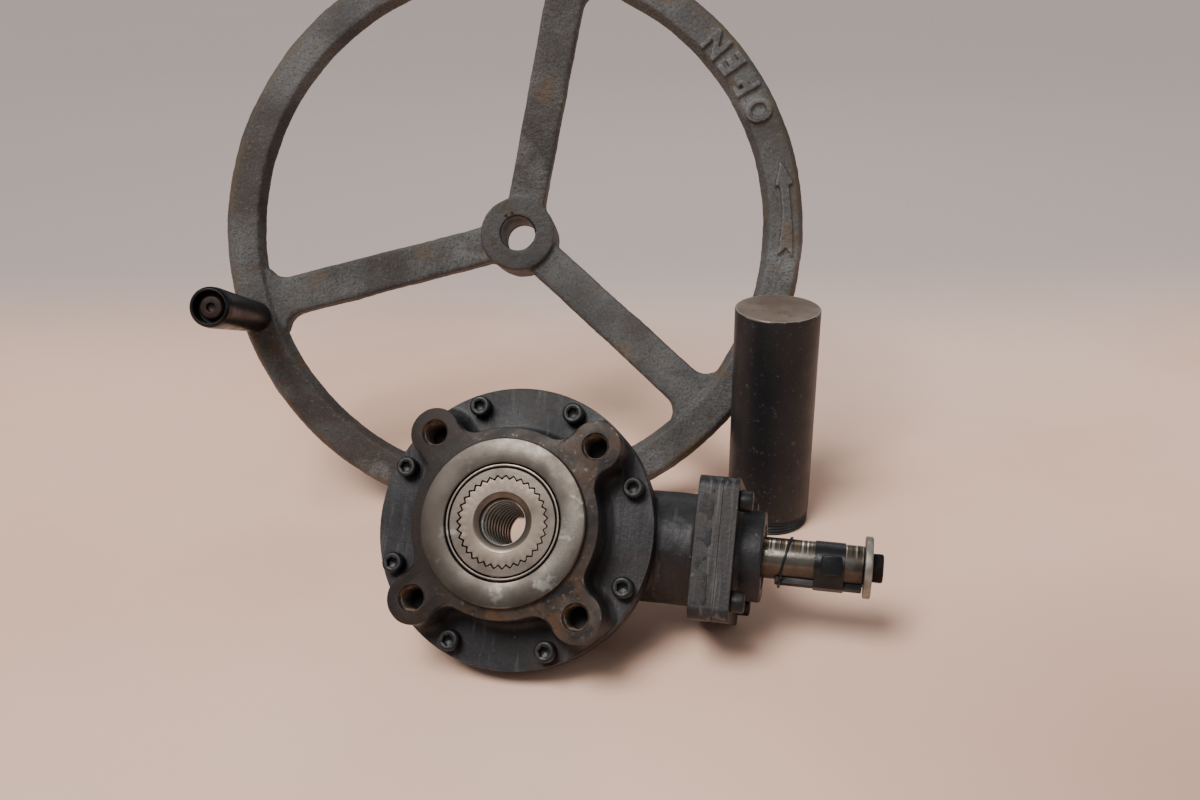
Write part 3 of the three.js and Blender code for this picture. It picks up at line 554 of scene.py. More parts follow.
def mesh_object(name, vertices, faces, placed, *materials):
    """A new object with outward faces, placed in the row frame, from millimetres."""
    mesh = bpy.data.meshes.new(name)
    mesh.from_pydata([(x * MM, y * MM, z * MM) for x, y, z in vertices], [], faces)
    made = bpy.data.objects.new(name, mesh)
    bpy.context.scene.collection.objects.link(made)
    made.matrix_world = placed
    for material in materials:
        mesh.materials.append(material)
    tidy(made)
    return made


def tidy(made):
    """Welds doubled points, turns every face outwards and shades by angle."""
    grid = bmesh.new()
    grid.from_mesh(made.data)
    bmesh.ops.remove_doubles(grid, verts=grid.verts, dist=0.002 * MM)
    bmesh.ops.dissolve_degenerate(grid, edges=grid.edges, dist=0.001 * MM)
    bmesh.ops.recalc_face_normals(grid, faces=grid.faces)
    grid.to_mesh(made.data)
    grid.free()
    shade(made)


def shade(made, angle=34):
    made.data.shade_smooth()
    made.data.set_sharp_from_angle(angle=angle * DEG)


def skin(name, loops, placed, *materials, closed=False, caps=(True, True)):
    """A surface through loops of equal length. Open stacks are capped, closed ones join up."""
    count = len(loops[0])
    faces = []
    for k in range(len(loops) if closed else len(loops) - 1):
        here, there = k * count, ((k + 1) % len(loops)) * count
        for i in range(count):
            j = (i + 1) % count
            faces.append((here + i, here + j, there + j, there + i))
    if not closed:
        if caps[0]:
            faces.append(tuple(range(count)))
        if caps[1]:
            faces.append(tuple(range((len(loops) - 1) * count, len(loops) * count)))
    return mesh_object(name, [p for loop in loops for p in loop], faces, placed, *materials)


def lathe(name, profile, placed, *materials, segments=96, closed=False):
    """A body turned about Z from (radius, z) points. Closed profiles make rings."""
    loops = [circle(r, z, segments) for r, z in profile]
    return skin(name, loops, placed, *materials, closed=closed)


def stands_for(made, body, slot, *nodes):
    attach(made, body)
    if nodes:
        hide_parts(*nodes)
    return made


def ring_piece(name, points, placed, material, body, slot, *nodes, segments=96, steps=5):
    """A ring turned from a closed path of rounded corners, standing for CAD nodes."""
    made = lathe(name, rounded(points, closed=True, steps=steps), placed, material, closed=True,
                 segments=segments)
    return stands_for(made, body, slot, *nodes)


def applied(made):
    graph = bpy.context.evaluated_depsgraph_get()
    mesh = bpy.data.meshes.new_from_object(made.evaluated_get(graph))
    old = made.data
    made.modifiers.clear()
    made.data = mesh
    bpy.data.meshes.remove(old)
    return made


def joined(name, objects):
    """One object from several in the same frame."""
    grid = bmesh.new()
    for part in objects:
        grid.from_mesh(part.data)
    first = objects[0]
    mesh = bpy.data.meshes.new(name)
    grid.to_mesh(mesh)
    grid.free()
    for material in first.data.materials:
        mesh.materials.append(material)
    made = bpy.data.objects.new(name, mesh)
    bpy.context.scene.collection.objects.link(made)
    made.matrix_world = first.matrix_world
    for part in objects:
        bpy.data.objects.remove(part)
    return made


def cut(made, cutters):
    tool = joined("cutters", cutters)
    modifier = made.modifiers.new("cut", "BOOLEAN")
    modifier.operation = "DIFFERENCE"
    modifier.solver = "EXACT"
    modifier.object = tool
    applied(made)
    bpy.data.objects.remove(tool)
    shade(made)
    return made


def fused(name, objects, material, voxel, relax, *waves):
    """One casting from overlapping solids, remeshed together with its corners softened. Its points
    then move along their normals by noise: each wave is (depth, cell size) in mm."""
    made = joined(name, objects)
    remesh = made.modifiers.new("remesh", "REMESH")
    remesh.mode = "VOXEL"
    remesh.voxel_size = voxel * MM
    soften = made.modifiers.new("soften", "SMOOTH")
    soften.factor = 0.5
    soften.iterations = relax
    mesh = applied(made).data
    mesh.materials.clear()
    mesh.materials.append(material)
    places = []
    for vertex in mesh.vertices:
        point = vertex.co / MM
        depth = sum(amount * noise.noise(point / size) for amount, size in waves)
        places.append(vertex.co + vertex.normal * (depth * MM))
    for vertex, place_to in zip(mesh.vertices, places):
        vertex.co = place_to
    mesh.shade_smooth()
    return made


def face_materials(made, pick):
    """pick(centre in mm, normal) gives the index of the face's material."""
    for polygon in made.data.polygons:
        polygon.material_index = pick(polygon.center / MM, polygon.normal)


def moved(points, offset):
    return [(x + offset[0], y + offset[1], z + offset[2]) for x, y, z in points]


def thread_tube(name, radius, depth, pitch, z0, z1, placed, material, body, slot, segments, step=0.4):
    """The wall of a threaded hole: a helical ridge, as rings whose radius follows the thread."""
    rings = int((z1 - z0) / step)
    loops = []
    for k in range(rings + 1):
        z = z0 + (z1 - z0) * k / rings
        fade = min(1.0, k / 4, (rings - k) / 4)

        def wall(i, angle):
            phase = (z / pitch - i / segments) % 1.0
            return radius + depth * (1 - min(1.0, abs(phase * 2 - 1) * 1.6) * fade)

        loops.append(around(segments, z, wall))
    outer = radius + depth + 0.6
    loops += [circle(outer, z1, segments), circle(outer, z0, segments)]
    return stands_for(skin(name, loops, placed, material, closed=True), body, slot)


# ---- front cover ----
LOBE_CENTRE_R = HUB_R + HUB_FILLET_R
LOBE_REACH = LOBE_R + HUB_FILLET_R
LOBE_OFFSET = acos((LOBE_CENTRE_R ** 2 + BOLT_CIRCLE_R ** 2 - LOBE_REACH ** 2)
                        / (2 * LOBE_CENTRE_R * BOLT_CIRCLE_R))


def arc(centre, radius, start, end, count):
    return [(centre[0] + radius * cos(start + (end - start) * i / count),
             centre[1] + radius * sin(start + (end - start) * i / count))
            for i in range(count)]


def lobed(grow):
    """The lobed hub's outline grown by so many millimetres, always with the same points."""
    outline = []
    for k in range(4):
        middle = (45 + 90 * k) * DEG
        lobe = (BOLT_CIRCLE_R * cos(middle), BOLT_CIRCLE_R * sin(middle))
        sides = []
        for side in (-1, 1):
            at = middle + side * LOBE_OFFSET
            sides.append((LOBE_CENTRE_R * cos(at), LOBE_CENTRE_R * sin(at)))
        before, after = sides
        enter = atan2(lobe[1] - before[1], lobe[0] - before[0])
        leave = atan2(lobe[1] - after[1], lobe[0] - after[0])
        concave = HUB_FILLET_R - grow
        start = middle - LOBE_OFFSET + pi
        outline += arc(before, concave, start, start - (start - enter) % (2 * pi), 10)
        sweep = (leave - enter) % (2 * pi)
        outline += arc(lobe, LOBE_R + grow, enter + pi, enter + pi + sweep, 24)
        end = middle + LOBE_OFFSET + pi
        outline += arc(after, concave, leave, leave - (leave - end) % (2 * pi), 10)
        gap = pi / 2 - 2 * LOBE_OFFSET
        outline += arc((0, 0), HUB_R + grow, middle + LOBE_OFFSET, middle + LOBE_OFFSET + gap, 14)
    return outline


def front_cover():
    fillet = 6
    limit = RING_R - 0.7
    wall = [(-1.0, 0), (-0.35, -0.25), (0, -0.9), (0.1, -8), (0.2, RING_FRONT + fillet)]
    for k in range(1, 7):
        angle = 90 * DEG * k / 6
        wall.append((fillet * (1 - cos(angle)) + 0.2, RING_FRONT + fillet * (1 - sin(angle))))
    loops = []
    widest = lobed(fillet)
    angles = []
    for x, y in widest:
        angle = atan2(y, x)
        while angles and angle < angles[-1]:
            angle += 2 * pi if angles[-1] - angle > pi else angles[-1] - angle
        angles.append(angle)

    def ring(radius, z):
        return [(radius * cos(a), radius * sin(a), z) for a in angles]

    top = rounded([(FRONT_BORE_R, -16), (FRONT_BORE_R, SPIGOT_TOP, 0.8), (SPIGOT_R, SPIGOT_TOP, 1.0),
                   (SPIGOT_R, 0.3, 0), (SPIGOT_R + 0.6, 0.0)], steps=3)
    loops += [ring(r, z) for r, z in top]
    for grow, z in wall:
        loop = []
        for x, y in lobed(grow):
            far = hypot(x, y)
            pull = min(1, limit / far)
            loop.append((x * pull, y * pull, z))
        loops.append(loop)
    back = rounded([(RING_R - 0.3, RING_FRONT), (RING_R, RING_FRONT - 0.6, 0), (RING_R, RING_BACK, 0.5),
                    (41, RING_BACK), (41, -16), (FRONT_BORE_R, -16)], steps=3)
    loops += [ring(r, z) for r, z in back[:-1]]
    cover = skin("front_cover_casting", loops, GEARBOX, PAINT, RUSTY_FACE, SPIGOT, closed=True)
    cutters = []
    for k in range(4):
        at = polar(BOLT_CIRCLE_R, 45 + 90 * k)
        hole = [circle(0.01, 1, 40), circle(8.9, 1, 40), circle(7.95, -0.5, 40), circle(7.95, -22, 40),
                circle(0.01, -24, 40)]
        cutters.append(skin("hole", [moved(loop, at) for loop in hole], GEARBOX))
    for k in range(8):
        at = polar(COVER_SCREW_CIRCLE_R, 22.5 + 45 * k)
        spot = rounded([(0.01, 3), (9.8, 3), (9.8, RING_FRONT + 0.4, 1.2), (0.01, RING_FRONT + 0.4)])
        cutters.append(skin("spot", [moved(circle(r, z, 48), at) for r, z in spot], GEARBOX))
    cut(cover, cutters)

    def pick(centre, normal):
        far = hypot(centre.x, centre.y)
        if far < SPIGOT_R + 0.1 and centre.z > -17:
            return 2
        if centre.z > -0.5 and normal.z > 0.6:
            return 1
        return 0

    face_materials(cover, pick)
    stands_for(cover, "gearbox", "casing_paint", "front_cover")
    for k in range(4):
        at = shifted(*polar(BOLT_CIRCLE_R, 45 + 90 * k))
        thread_tube(f"mounting_thread_{k + 1}", 6.9, 1.0, 2.0, -21.5, -0.6, GEARBOX @ at,
                    RUSTY_THREAD, "gearbox", "casing_paint", 40)


# ---- socket head cap screws ----
def socket_screw(name, placed, body, node, head_r=6.5, height=8, socket=3.4):
    count = 60
    flat = socket * cos(pi / 6)

    def knurled(radius, z):
        return around(count, z, lambda i, angle: radius - (0.12 if i % 2 else 0))

    loops = [circle(4, -20, count), circle(4, 0, count), circle(head_r - 0.5, 0, count),
             knurled(head_r, 0.5), knurled(head_r, height - 1.3),
             circle(head_r - 0.35, height - 0.6, count), circle(head_r - 1.0, height - 0.12, count),
             circle(head_r - 1.4, height, count),
             circle(socket * 1.16, height, count), hexagon(flat, height - 0.45, count=count),
             hexagon(flat, height - 4.2, count=count), circle(0.01, height - 5.2, count)]
    made = skin(name, loops, placed, SCREW)
    return stands_for(made, body, "dark_screws", node)


def gearbox_screws():
    for k in range(8):
        at = shifted(*polar(COVER_SCREW_CIRCLE_R, 22.5 + 45 * k, RING_FRONT + 0.4))
        spin = turned(17 + 37 * k)
        socket_screw(f"cover_cap_screw_{k + 1}", GEARBOX @ at @ spin, "gearbox", f"cover_screw_{k + 1}")
    s = CARRIER_SCREW_OFFSET
    for k, (x, y) in enumerate([(s, s), (-s, s), (-s, -s), (s, -s)]):
        at = shifted(x, y, CARRIER_FACE + 0.05)
        spin = turned(11 + 29 * k)
        socket_screw(f"carrier_cap_screw_{k + 1}", SHAFT @ at @ spin, "gearbox",
                     f"carrier_screw_{k + 1}")


# ---- housing and bearing carrier ----
def rounded_square(side, corner, z, count=12):
    h = side / 2 - corner
    loop = []
    for k, (sx, sy) in enumerate([(1, 1), (-1, 1), (-1, -1), (1, -1)]):
        start = k * pi / 2
        points = arc((sx * h, sy * h), corner, start, start + pi / 2, count - 1)
        last = start + pi / 2
        points.append((sx * h + corner * cos(last), sy * h + corner * sin(last)))
        loop += [(x, y, z) for x, y in points]
    return loop


def matched_circle(loop, radius, z):
    """A circle with a point on the same ray as each point of another loop."""
    made = []
    for x, y, _ in loop:
        far = hypot(x, y)
        made.append((x * radius / far, y * radius / far, z))
    return made


def square_ring(name, z0, z1, bore, placed, *materials, edge=1.0):
    outline = rounded_square(SQUARE, SQUARE_CORNER_R, 0)
    small = rounded_square(SQUARE - 2 * edge, SQUARE_CORNER_R - edge, 0)
    loops = [moved(small, (0, 0, z0)), moved(outline, (0, 0, z0 + edge)),
             moved(outline, (0, 0, z1 - edge)), moved(small, (0, 0, z1)),
             matched_circle(outline, bore, z1), matched_circle(outline, bore, z0)]
    return skin(name, loops, placed, *materials, closed=True)


def housing():
    bowl = lathe("bowl", rounded([
        (64, RING_BACK - 0.5), (RING_R, RING_BACK - 0.5, 1.2), (RING_R, FLANGE_BACK, 2.5),
        (74, FLANGE_BACK, 4), (72, -58, 8), (57, -82, 20), (47, -97, 10), (REAR_HUB_R, -103, 4),
        (REAR_HUB_R, REAR_END, 2), (PORT_R, REAR_END, 1), (PORT_R, -102.5), (41.2, -102.5), (41.2, -87.5),
        (46, -87.5), (52, -84), (64, -60)], closed=True), GEARBOX, PAINT, closed=True, segments=120)
    local = GEARBOX.inverted() @ SHAFT
    bore = lathe("bore", [(0.01, 47), (NECK_BORE_R, 47), (NECK_BORE_R, 130), (0.01, 130)], GEARBOX)
    neck = lathe("neck", [(NECK_BORE_R, 48), (NECK_R, 48), (NECK_R, NECK_END + 3),
                          (NECK_BORE_R, NECK_END + 3)], GEARBOX, closed=True)
    flange = square_ring("flange", NECK_END, SPLIT - 2, NECK_BORE_R, GEARBOX, edge=1.5)
    for piece in (bore, neck, flange):
        piece.data.transform(local)
    cut(bowl, [bore])
    casting = fused("housing_casting", [bowl, neck, flange], PAINT, 1.3, 5, (0.35, 9), (0.15, 3))
    stands_for(casting, "gearbox", "casing_paint", "housing")
    face = square_ring("flange_face", NECK_END + 0.4, SPLIT, NECK_BORE_R + 0.2, SHAFT, BRUSHED, edge=0.12)
    stands_for(face, "gearbox", "casing_paint")
    thread_tube("port_thread", PORT_R - 0.9, 1.2, PIPE_PITCH, -111.6, -103, GEARBOX, PORT_THREAD,
                "gearbox", "machined_steel", 72)


def bearing_carrier():
    plate = square_ring("carrier_plate", SPLIT + 0.12, CARRIER_FACE, 16, SHAFT, BRUSHED, edge=0.2)
    stands_for(plate, "gearbox", "casing_paint", "bearing_carrier")
    ring_piece("carrier_nose", [
        (16.2, CARRIER_FACE - 3), (NOSE_R + 2.2, CARRIER_FACE - 3), (NOSE_R + 2.2, CARRIER_FACE + 0.1),
        (NOSE_R, CARRIER_FACE + 2.2, 2.5), (NOSE_R, NOSE_END, 1.6), (20.4, NOSE_END, 0.6),
        (20.4, 139.7), (16.2, 139.7)], SHAFT, PAINT, "gearbox", "casing_paint")
    ring_piece("carrier_tube", [(23.8, 66), (29.2, 66), (29.2, SPLIT + 1), (23.8, SPLIT + 1)],
               SHAFT, INNER, "gearbox", "casing_paint")
    ring_piece("shaft_seal", [
        (SHAFT_R + 0.15, 140.2), (20.2, 140.2), (20.2, NOSE_END - 0.8, 0.4), (18, NOSE_END - 0.8, 0.5),
        (17, NOSE_END - 2.4, 0.6), (15.2, NOSE_END - 2.2, 0.6), (14.4, NOSE_END - 0.7, 0.5),
        (SHAFT_R + 0.15, NOSE_END - 1.6, 0.3)], SHAFT, RUBBER, "gearbox", "rubber", "input_oil_seal",
        steps=3)
    sheet = square_ring("carrier_sheet_gasket", SPLIT + 0.01, SPLIT + 0.11, NECK_BORE_R + 0.2, SHAFT,
                        PAPER, edge=0.02)
    stands_for(sheet, "gearbox", "gasket", "carrier_gasket")
    ring_piece("cover_sheet_gasket", [
        (64, RING_BACK - 0.48), (RING_R - 0.3, RING_BACK - 0.48), (RING_R - 0.3, RING_BACK - 0.02),
        (64, RING_BACK - 0.02)], GEARBOX, PAPER, "gearbox", "gasket", "cover_gasket")


# ---- drive sleeve, stem nut and front bush ----
def serrated(mean, z, points=8):
    """A serrated spline outline: sharp-rooted teeth with slightly rounded crests."""
    def tooth(i, angle):
        wave = abs(i / points % 1.0 * 2 - 1) * 2 - 1
        return mean + SPLINE_HALF_DEPTH * max(-0.92, min(0.92, wave * 1.05))

    return around(SPLINE_TEETH * points, z, tooth)


def sleeve_and_nut():
    count = SPLINE_TEETH * 8
    low = SLEEVE_FRONT - SPLINE_LENGTH
    profile = [(SLEEVE_R - 0.35, SLEEVE_FRONT), (SLEEVE_R, SLEEVE_FRONT - 0.35), (SLEEVE_R, -27.6),
               (38, -27.6), (38, -36.9), (34, -36.9), (34, -89.1), (SLEEVE_R, -89.1),
               (SLEEVE_R, -101.2), (24.6, -101.2), (24.6, low - 0.2)]
    loops = [circle(r, z, count) for r, z in profile]
    loops += [serrated(SPLINE_R + 0.35, low), serrated(SPLINE_R + 0.35, SLEEVE_FRONT - 0.3),
              serrated(SPLINE_R + 0.55, SLEEVE_FRONT)]
    sleeve = skin("splined_drive_sleeve", loops, GEARBOX, SLEEVE_FACE, INNER, closed=True)
    face_materials(sleeve, lambda centre, normal: 0 if centre.z > 0 else 1)
    stands_for(sleeve, "drive", "machined_steel", "drive_sleeve")

    low += 0.3
    loops = [circle(THREAD_R + 1.9, NUT_END, count), circle(24.3, NUT_END, count),
             circle(24.3, low - 0.2, count), serrated(SPLINE_R - 0.35, low),
             serrated(SPLINE_R - 0.35, SLEEVE_FRONT - 1.0), serrated(SPLINE_R - 0.6, SLEEVE_FRONT - 0.6)]
    inner = rounded([(24.2, SLEEVE_FRONT - 0.55), (17.8, SLEEVE_FRONT - 0.55, 0.4),
                     (THREAD_R + 0.5, SLEEVE_FRONT - 1.9, 0.2), (THREAD_R + 1.9, SLEEVE_FRONT - 2.3),
                     (THREAD_R + 1.9, NUT_END)], steps=3)
    loops += [circle(r, z, count) for r, z in inner[:-1]]
    nut = skin("splined_stem_nut", loops, GEARBOX, NUT_FACE, THREAD, closed=True)

    def pick(centre, normal):
        return 1 if centre.z < SLEEVE_FRONT - 2 and hypot(centre.x, centre.y) < THREAD_R + 2 else 0

    face_materials(nut, pick)
    stands_for(nut, "nut", "nut_metal", "stem_nut")
    thread_tube("stem_thread", THREAD_R - 0.3, 2.1, STEM_PITCH, NUT_END + 0.5, SLEEVE_FRONT - 2.2,
                GEARBOX, THREAD, "nut", "nut_metal", 96, step=0.35)

    ring_piece("front_bush_ring", [
        (SLEEVE_R + 0.75, -13.8), (34.3, -13.8), (34.3, 3.5, 0.4), (SLEEVE_R + 0.75, 3.5, 0.4)],
        GEARBOX, BUSH, "gearbox", "machined_steel", "front_bush", steps=3, segments=160)


# ---- input shaft and what is on it ----
def keyed_outline(grow, z, count=72):
    """The shaft with its key on +Y, wrapped tight: a circle joined to the key's two corners."""
    radius = SHAFT_R + 0.1 + grow
    half = KEY / 2 + 0.3 + grow
    top = SHAFT_R + KEY / 2 + 0.2 + grow
    slope = atan2(top, half)
    reach = hypot(half, top)
    touch = slope - acos(min(1, radius / reach))
    loop = []
    span = 2 * pi - (pi - 2 * touch)
    for i in range(count):
        angle = pi - touch + span * i / (count - 1)
        loop.append((radius * cos(angle), radius * sin(angle), z))
    loop += [(half, top - 0.5, z), (half - 0.5, top, z), (0, top + 0.1, z), (-half + 0.5, top, z),
             (-half, top - 0.5, z)]
    return loop


def input_side():
    bar = lathe("keyed_input_shaft", rounded([
        (0.01, 38.5), (10, 38.5), (11, 39.5), (11, 40), (10, 40), (10, 41.6), (11, 41.6), (11, 66.2),
        (12.5, 66.2), (12.5, SPLIT + 0.3), (14.8, SPLIT + 0.3), (14.8, NOSE_END - 8),
        (SHAFT_R, NOSE_END - 7), (SHAFT_R, SHAFT_END, 1.0), (0.01, SHAFT_END)], steps=4),
        SHAFT, SHAFT_STEEL, OXIDE)
    end = SHAFT_END - KEY_LENGTH / 2 - 0.5
    spin = turned(KEY_ANGLE)
    slot_low, slot_high = SHAFT_R - KEY / 2 - 0.15, SHAFT_R + 3
    half = KEY / 2 + 0.12
    x0, x1 = end - KEY_LENGTH / 2 - 0.2, end + KEY_LENGTH / 2 + 3
    loops = [[(-half, slot_low, z), (half, slot_low, z), (half, slot_high, z), (-half, slot_high, z)]
             for z in (x0, x1)]
    slot_cutter = skin("keyway", loops, SHAFT)
    slot_cutter.data.transform(spin)
    drill = lathe("drill", [(0.01, SHAFT_END - 25), (5.3, SHAFT_END - 25), (5.3, SHAFT_END + 1),
                            (0.01, SHAFT_END + 1)], SHAFT, segments=32)
    cut(bar, [slot_cutter, drill])
    stands_for(bar, "input", "machined_steel", "input_shaft")

    outline = rounded([(-KEY / 2, -KEY / 2, 0.4), (KEY / 2, -KEY / 2, 0.4), (KEY / 2, KEY / 2, 0.4),
                       (-KEY / 2, KEY / 2, 0.4)], closed=True, steps=3)
    loops = []
    for z, scale in ((x0 + 0.2, 0.92), (x0 + 0.7, 1.0), (SHAFT_END - 1.1, 1.0), (SHAFT_END - 0.6, 0.92)):
        loops.append([(x * scale, SHAFT_R + y * scale, z) for x, y in outline])
    key = skin("square_key", loops, SHAFT @ spin, OXIDE)
    stands_for(key, "input", "machined_steel", "handwheel_key")

    loops = [keyed_outline(grow, z) for z, grow in (
        (180, 0.25), (180.2, 0.55), (186, 0.6), (190, 0.62), (197.8, 0.55), (198, 0.25), (198, 0.02),
        (180, 0.02))]
    tape = skin("key_tape", loops, SHAFT @ spin, RUBBER, closed=True)
    stands_for(tape, "input", "rubber", "key_band")
    outline = rounded([(-6.5, 0, 1), (6.5, 0, 1), (5.6, 1.5, 0.8), (-5.6, 1.5, 0.8)], closed=True,
                      steps=4)
    loops = [[(x * s, y * s + 0.1, z) for x, y in outline]
             for z, s in ((184, 0.8), (184.8, 1.0), (195.4, 1.0), (196.2, 0.8))]
    fold = skin("key_tape_fold", loops, SHAFT, RUBBER)
    fold.data.transform(turned(TAPE_FOLD_ANGLE) @ shifted(0, SHAFT_R + 0.5, 0))
    stands_for(fold, "input", "rubber")

    loops = []
    for k in range(12):
        angle = 2 * pi * k / 12
        loops.append([(x, y, z + 0.8 * sin(angle) - y * 0.2)
                      for x, y, z in keyed_outline(0.75 + 0.7 * cos(angle), 162.8)])
    band = skin("retaining_loop", loops, SHAFT @ spin, RUBBER, closed=True)
    stands_for(band, "input", "rubber", "retaining_band")

    face = SHAFT_END + 0.3
    ring_piece("zinc_end_washer", [
        (5.6, face, 0.3), (WASHER_R, face, 0.7), (WASHER_R, face + WASHER_THICK, 0.9),
        (5.6, face + WASHER_THICK, 0.3)],
        SHAFT, ZINC, "input", "zinc_washer", "end_washer", steps=4, segments=120)
    start = SHAFT_END + 0.6 + WASHER_THICK
    loops = [circle(5, start - 26, 72), circle(5, start, 72), circle(8.1, start, 72),
             circle(8.1, start + 0.5, 72), hexagon(8.4, start + 0.5), hexagon(8.5, start + 5.2),
             hexagon(8.5, start + 5.8, 9.0), hexagon(8.5, start + 6.4, 8.1), circle(6.4, start + 6.4, 72),
             circle(6.0, start + 6.1, 72)]
    bolt = skin("end_hex_bolt", loops, SHAFT, OXIDE)
    stands_for(bolt, "input", "dark_screws", "end_bolt")


# ---- handwheel ----
SPOKE_FACE = [(18, -40.5), (40, -36.5), (60, -31), (90, -22), (120, -12.5), (150, -3.5), (175, 3),
              (192, 6.5), (204, 7)]


def spoke_face(r):
    for (r0, z0), (r1, z1) in zip(SPOKE_FACE, SPOKE_FACE[1:]):
        if r <= r1:
            return z0 + (z1 - z0) * (r - r0) / (r1 - r0)
    return SPOKE_FACE[-1][1]


def spoke(angle):
    inner = RIM_INNER_R + 3
    side = SPOKE_HALF + SPOKE_FILLET_R
    turn = asin(side / (inner - SPOKE_FILLET_R))
    along = (inner - SPOKE_FILLET_R) * cos(turn)
    fillet_x = sqrt((WHEEL_HUB_R + ROOT_FILLET) ** 2 - (SPOKE_HALF + ROOT_FILLET) ** 2)
    root_r = fillet_x * WHEEL_HUB_R / (WHEEL_HUB_R + ROOT_FILLET)
    loops = []
    steps = 60
    for k in range(steps + 1):
        r = 18 + (202 - 18) * k / steps
        past = min(max(0, r - along), SPOKE_FILLET_R - 0.3)
        half = SPOKE_HALF + SPOKE_FILLET_R - sqrt(SPOKE_FILLET_R ** 2 - past ** 2)
        if r < root_r:
            half = sqrt((WHEEL_HUB_R - 0.2) ** 2 - r ** 2)
        elif r < fillet_x:
            half = SPOKE_HALF + ROOT_FILLET - sqrt(ROOT_FILLET ** 2 - (fillet_x - r) ** 2)
        top = spoke_face(r)
        thick = SPOKE_THICK + 2.5 * max(0, 1 - r / 110)
        section = rounded([(-half, top - thick, 3), (half, top - thick, 3), (half - 0.4, top, 3.2),
                           (-half + 0.4, top, 3.2)], closed=True, steps=3)
        loops.append([(r, y, z) for y, z in section])
    made = skin("spoke", loops, WHEEL)
    made.data.transform(turned(angle))
    return made


def letter(text, angle, size=27.0, width=0.82, radius=204.8):
    curve = bpy.data.curves.new("letter", "FONT")
    curve.body = text
    curve.size = size * MM
    curve.extrude = 2.9 * MM
    curve.offset = 1.0 * MM
    curve.resolution_u = 4
    curve.align_x = "CENTER"
    curve.align_y = "CENTER"
    source = bpy.data.objects.new("letter_source", curve)
    bpy.context.scene.collection.objects.link(source)
    graph = bpy.context.evaluated_depsgraph_get()
    mesh = bpy.data.meshes.new_from_object(source.evaluated_get(graph))
    bpy.data.objects.remove(source)
    made = bpy.data.objects.new("letter", mesh)
    bpy.context.scene.collection.objects.link(made)
    made.matrix_world = WHEEL
    xs, ys = [v.co.x for v in mesh.vertices], [v.co.y for v in mesh.vertices]
    mesh.transform(Matrix.Translation((-(min(xs) + max(xs)) / 2, -(min(ys) + max(ys)) / 2, 0)))
    mesh.transform(Matrix.Diagonal((width, 1, 1, 1)))
    spin = turned(angle + 90)
    mesh.transform(shifted(*polar(radius, angle, RIM_HALF + 0.3)) @ spin)
    tidy(made)
    return made


def arc_bar(angles, radii, z0, z1):
    """A raised bar along the rim: (inner, outer) radius at each angle in degrees."""
    loops = []
    for angle, (inner, outer) in zip(angles, radii):
        c, s = cos(angle * DEG), sin(angle * DEG)
        loops.append([(inner * c, inner * s, z0), (outer * c, outer * s, z0), (outer * c, outer * s, z1),
                      (inner * c, inner * s, z1)])
    return skin("bar", loops, WHEEL)


def arrow():
    low, high = RIM_HALF - 1, RIM_HALF + 2.9
    middle = 207.5
    tail, notch, neck, tip = -6.4, -4.8, 8.2, 13.2

    def wide(angle):
        if angle > neck:
            return 0.3 + 6.6 * (tip - angle) / (tip - neck)
        return 3.2 + 2.6 * max(0, (4 - angle) / (4 - tail)) ** 1.5

    angles = [notch + (neck - notch) * k / 20 for k in range(21)]
    angles += [neck + 0.02 + (tip - neck - 0.02) * k / 8 for k in range(9)]
    parts = [arc_bar(angles, [(middle - wide(a), middle + wide(a)) for a in angles], low, high)]
    for side in (-1, 1):
        far = middle + side * wide(tail)
        ends = [sorted((far, far - side * 0.8)), sorted((middle + side * wide(notch), middle))]
        parts.append(arc_bar((tail, notch + 0.1), ends, low, high))
    return parts


def handwheel():
    rim = lathe("rim", rounded([
        (RIM_INNER_R + 5, RIM_HALF, 3), (WHEEL_R - 5, RIM_HALF, 4), (WHEEL_R, 0, 9),
        (WHEEL_R - 5, -RIM_HALF, 4), (RIM_INNER_R + 8, -RIM_HALF, 4), (RIM_INNER_R, 0, 5)],
        closed=True, steps=4), WHEEL, closed=True, segments=240)
    hub = lathe("hub", rounded([
        (WHEEL_BORE_R + 0.3, HUB_FRONT, 0.6), (WHEEL_HUB_R, HUB_FRONT, 1.5), (WHEEL_HUB_R, HUB_BACK, 1.5),
        (WHEEL_BORE_R + 0.3, HUB_BACK, 0.6)], closed=True), WHEEL, closed=True, segments=120)
    parts = [rim, hub] + [spoke(FIRST_SPOKE + 120 * k) for k in range(3)]
    parts += [letter(text, angle) for text, angle in zip("OPEN", LETTER_ANGLES)] + arrow()
    casting = fused("handwheel_casting", parts, WHEEL_IRON, 1.05, 2, (0.5, 22), (0.25, 6), (0.16, 2.2))
    stands_for(casting, "wheel", "wheel_iron", "handwheel")

    count = 96

    def keyed_bore(i, angle):
        offset = angle + 12 * DEG
        if cos(offset) > 0 and abs(WHEEL_BORE_R * sin(offset)) < KEY / 2 + 0.2:
            return min(17, 16.9 / cos(offset)) + grow
        return WHEEL_BORE_R + grow

    # The liner draws the bore's keyway; its near-black colour is painted shade inside the bore.
    loops = []
    for z, grow in ((HUB_BACK + 0.3, 0.5), (HUB_BACK + 0.8, 0), (HUB_FRONT - 0.8, 0),
                    (HUB_FRONT - 0.3, 0.5)):
        loops.append(around(count, z, keyed_bore))
    loops += [circle(17.8, HUB_FRONT - 0.3, count), circle(17.8, HUB_BACK + 0.3, count)]
    liner = skin("hub_bore", loops, WHEEL, BORE, closed=True)
    stands_for(liner, "wheel", "wheel_iron")


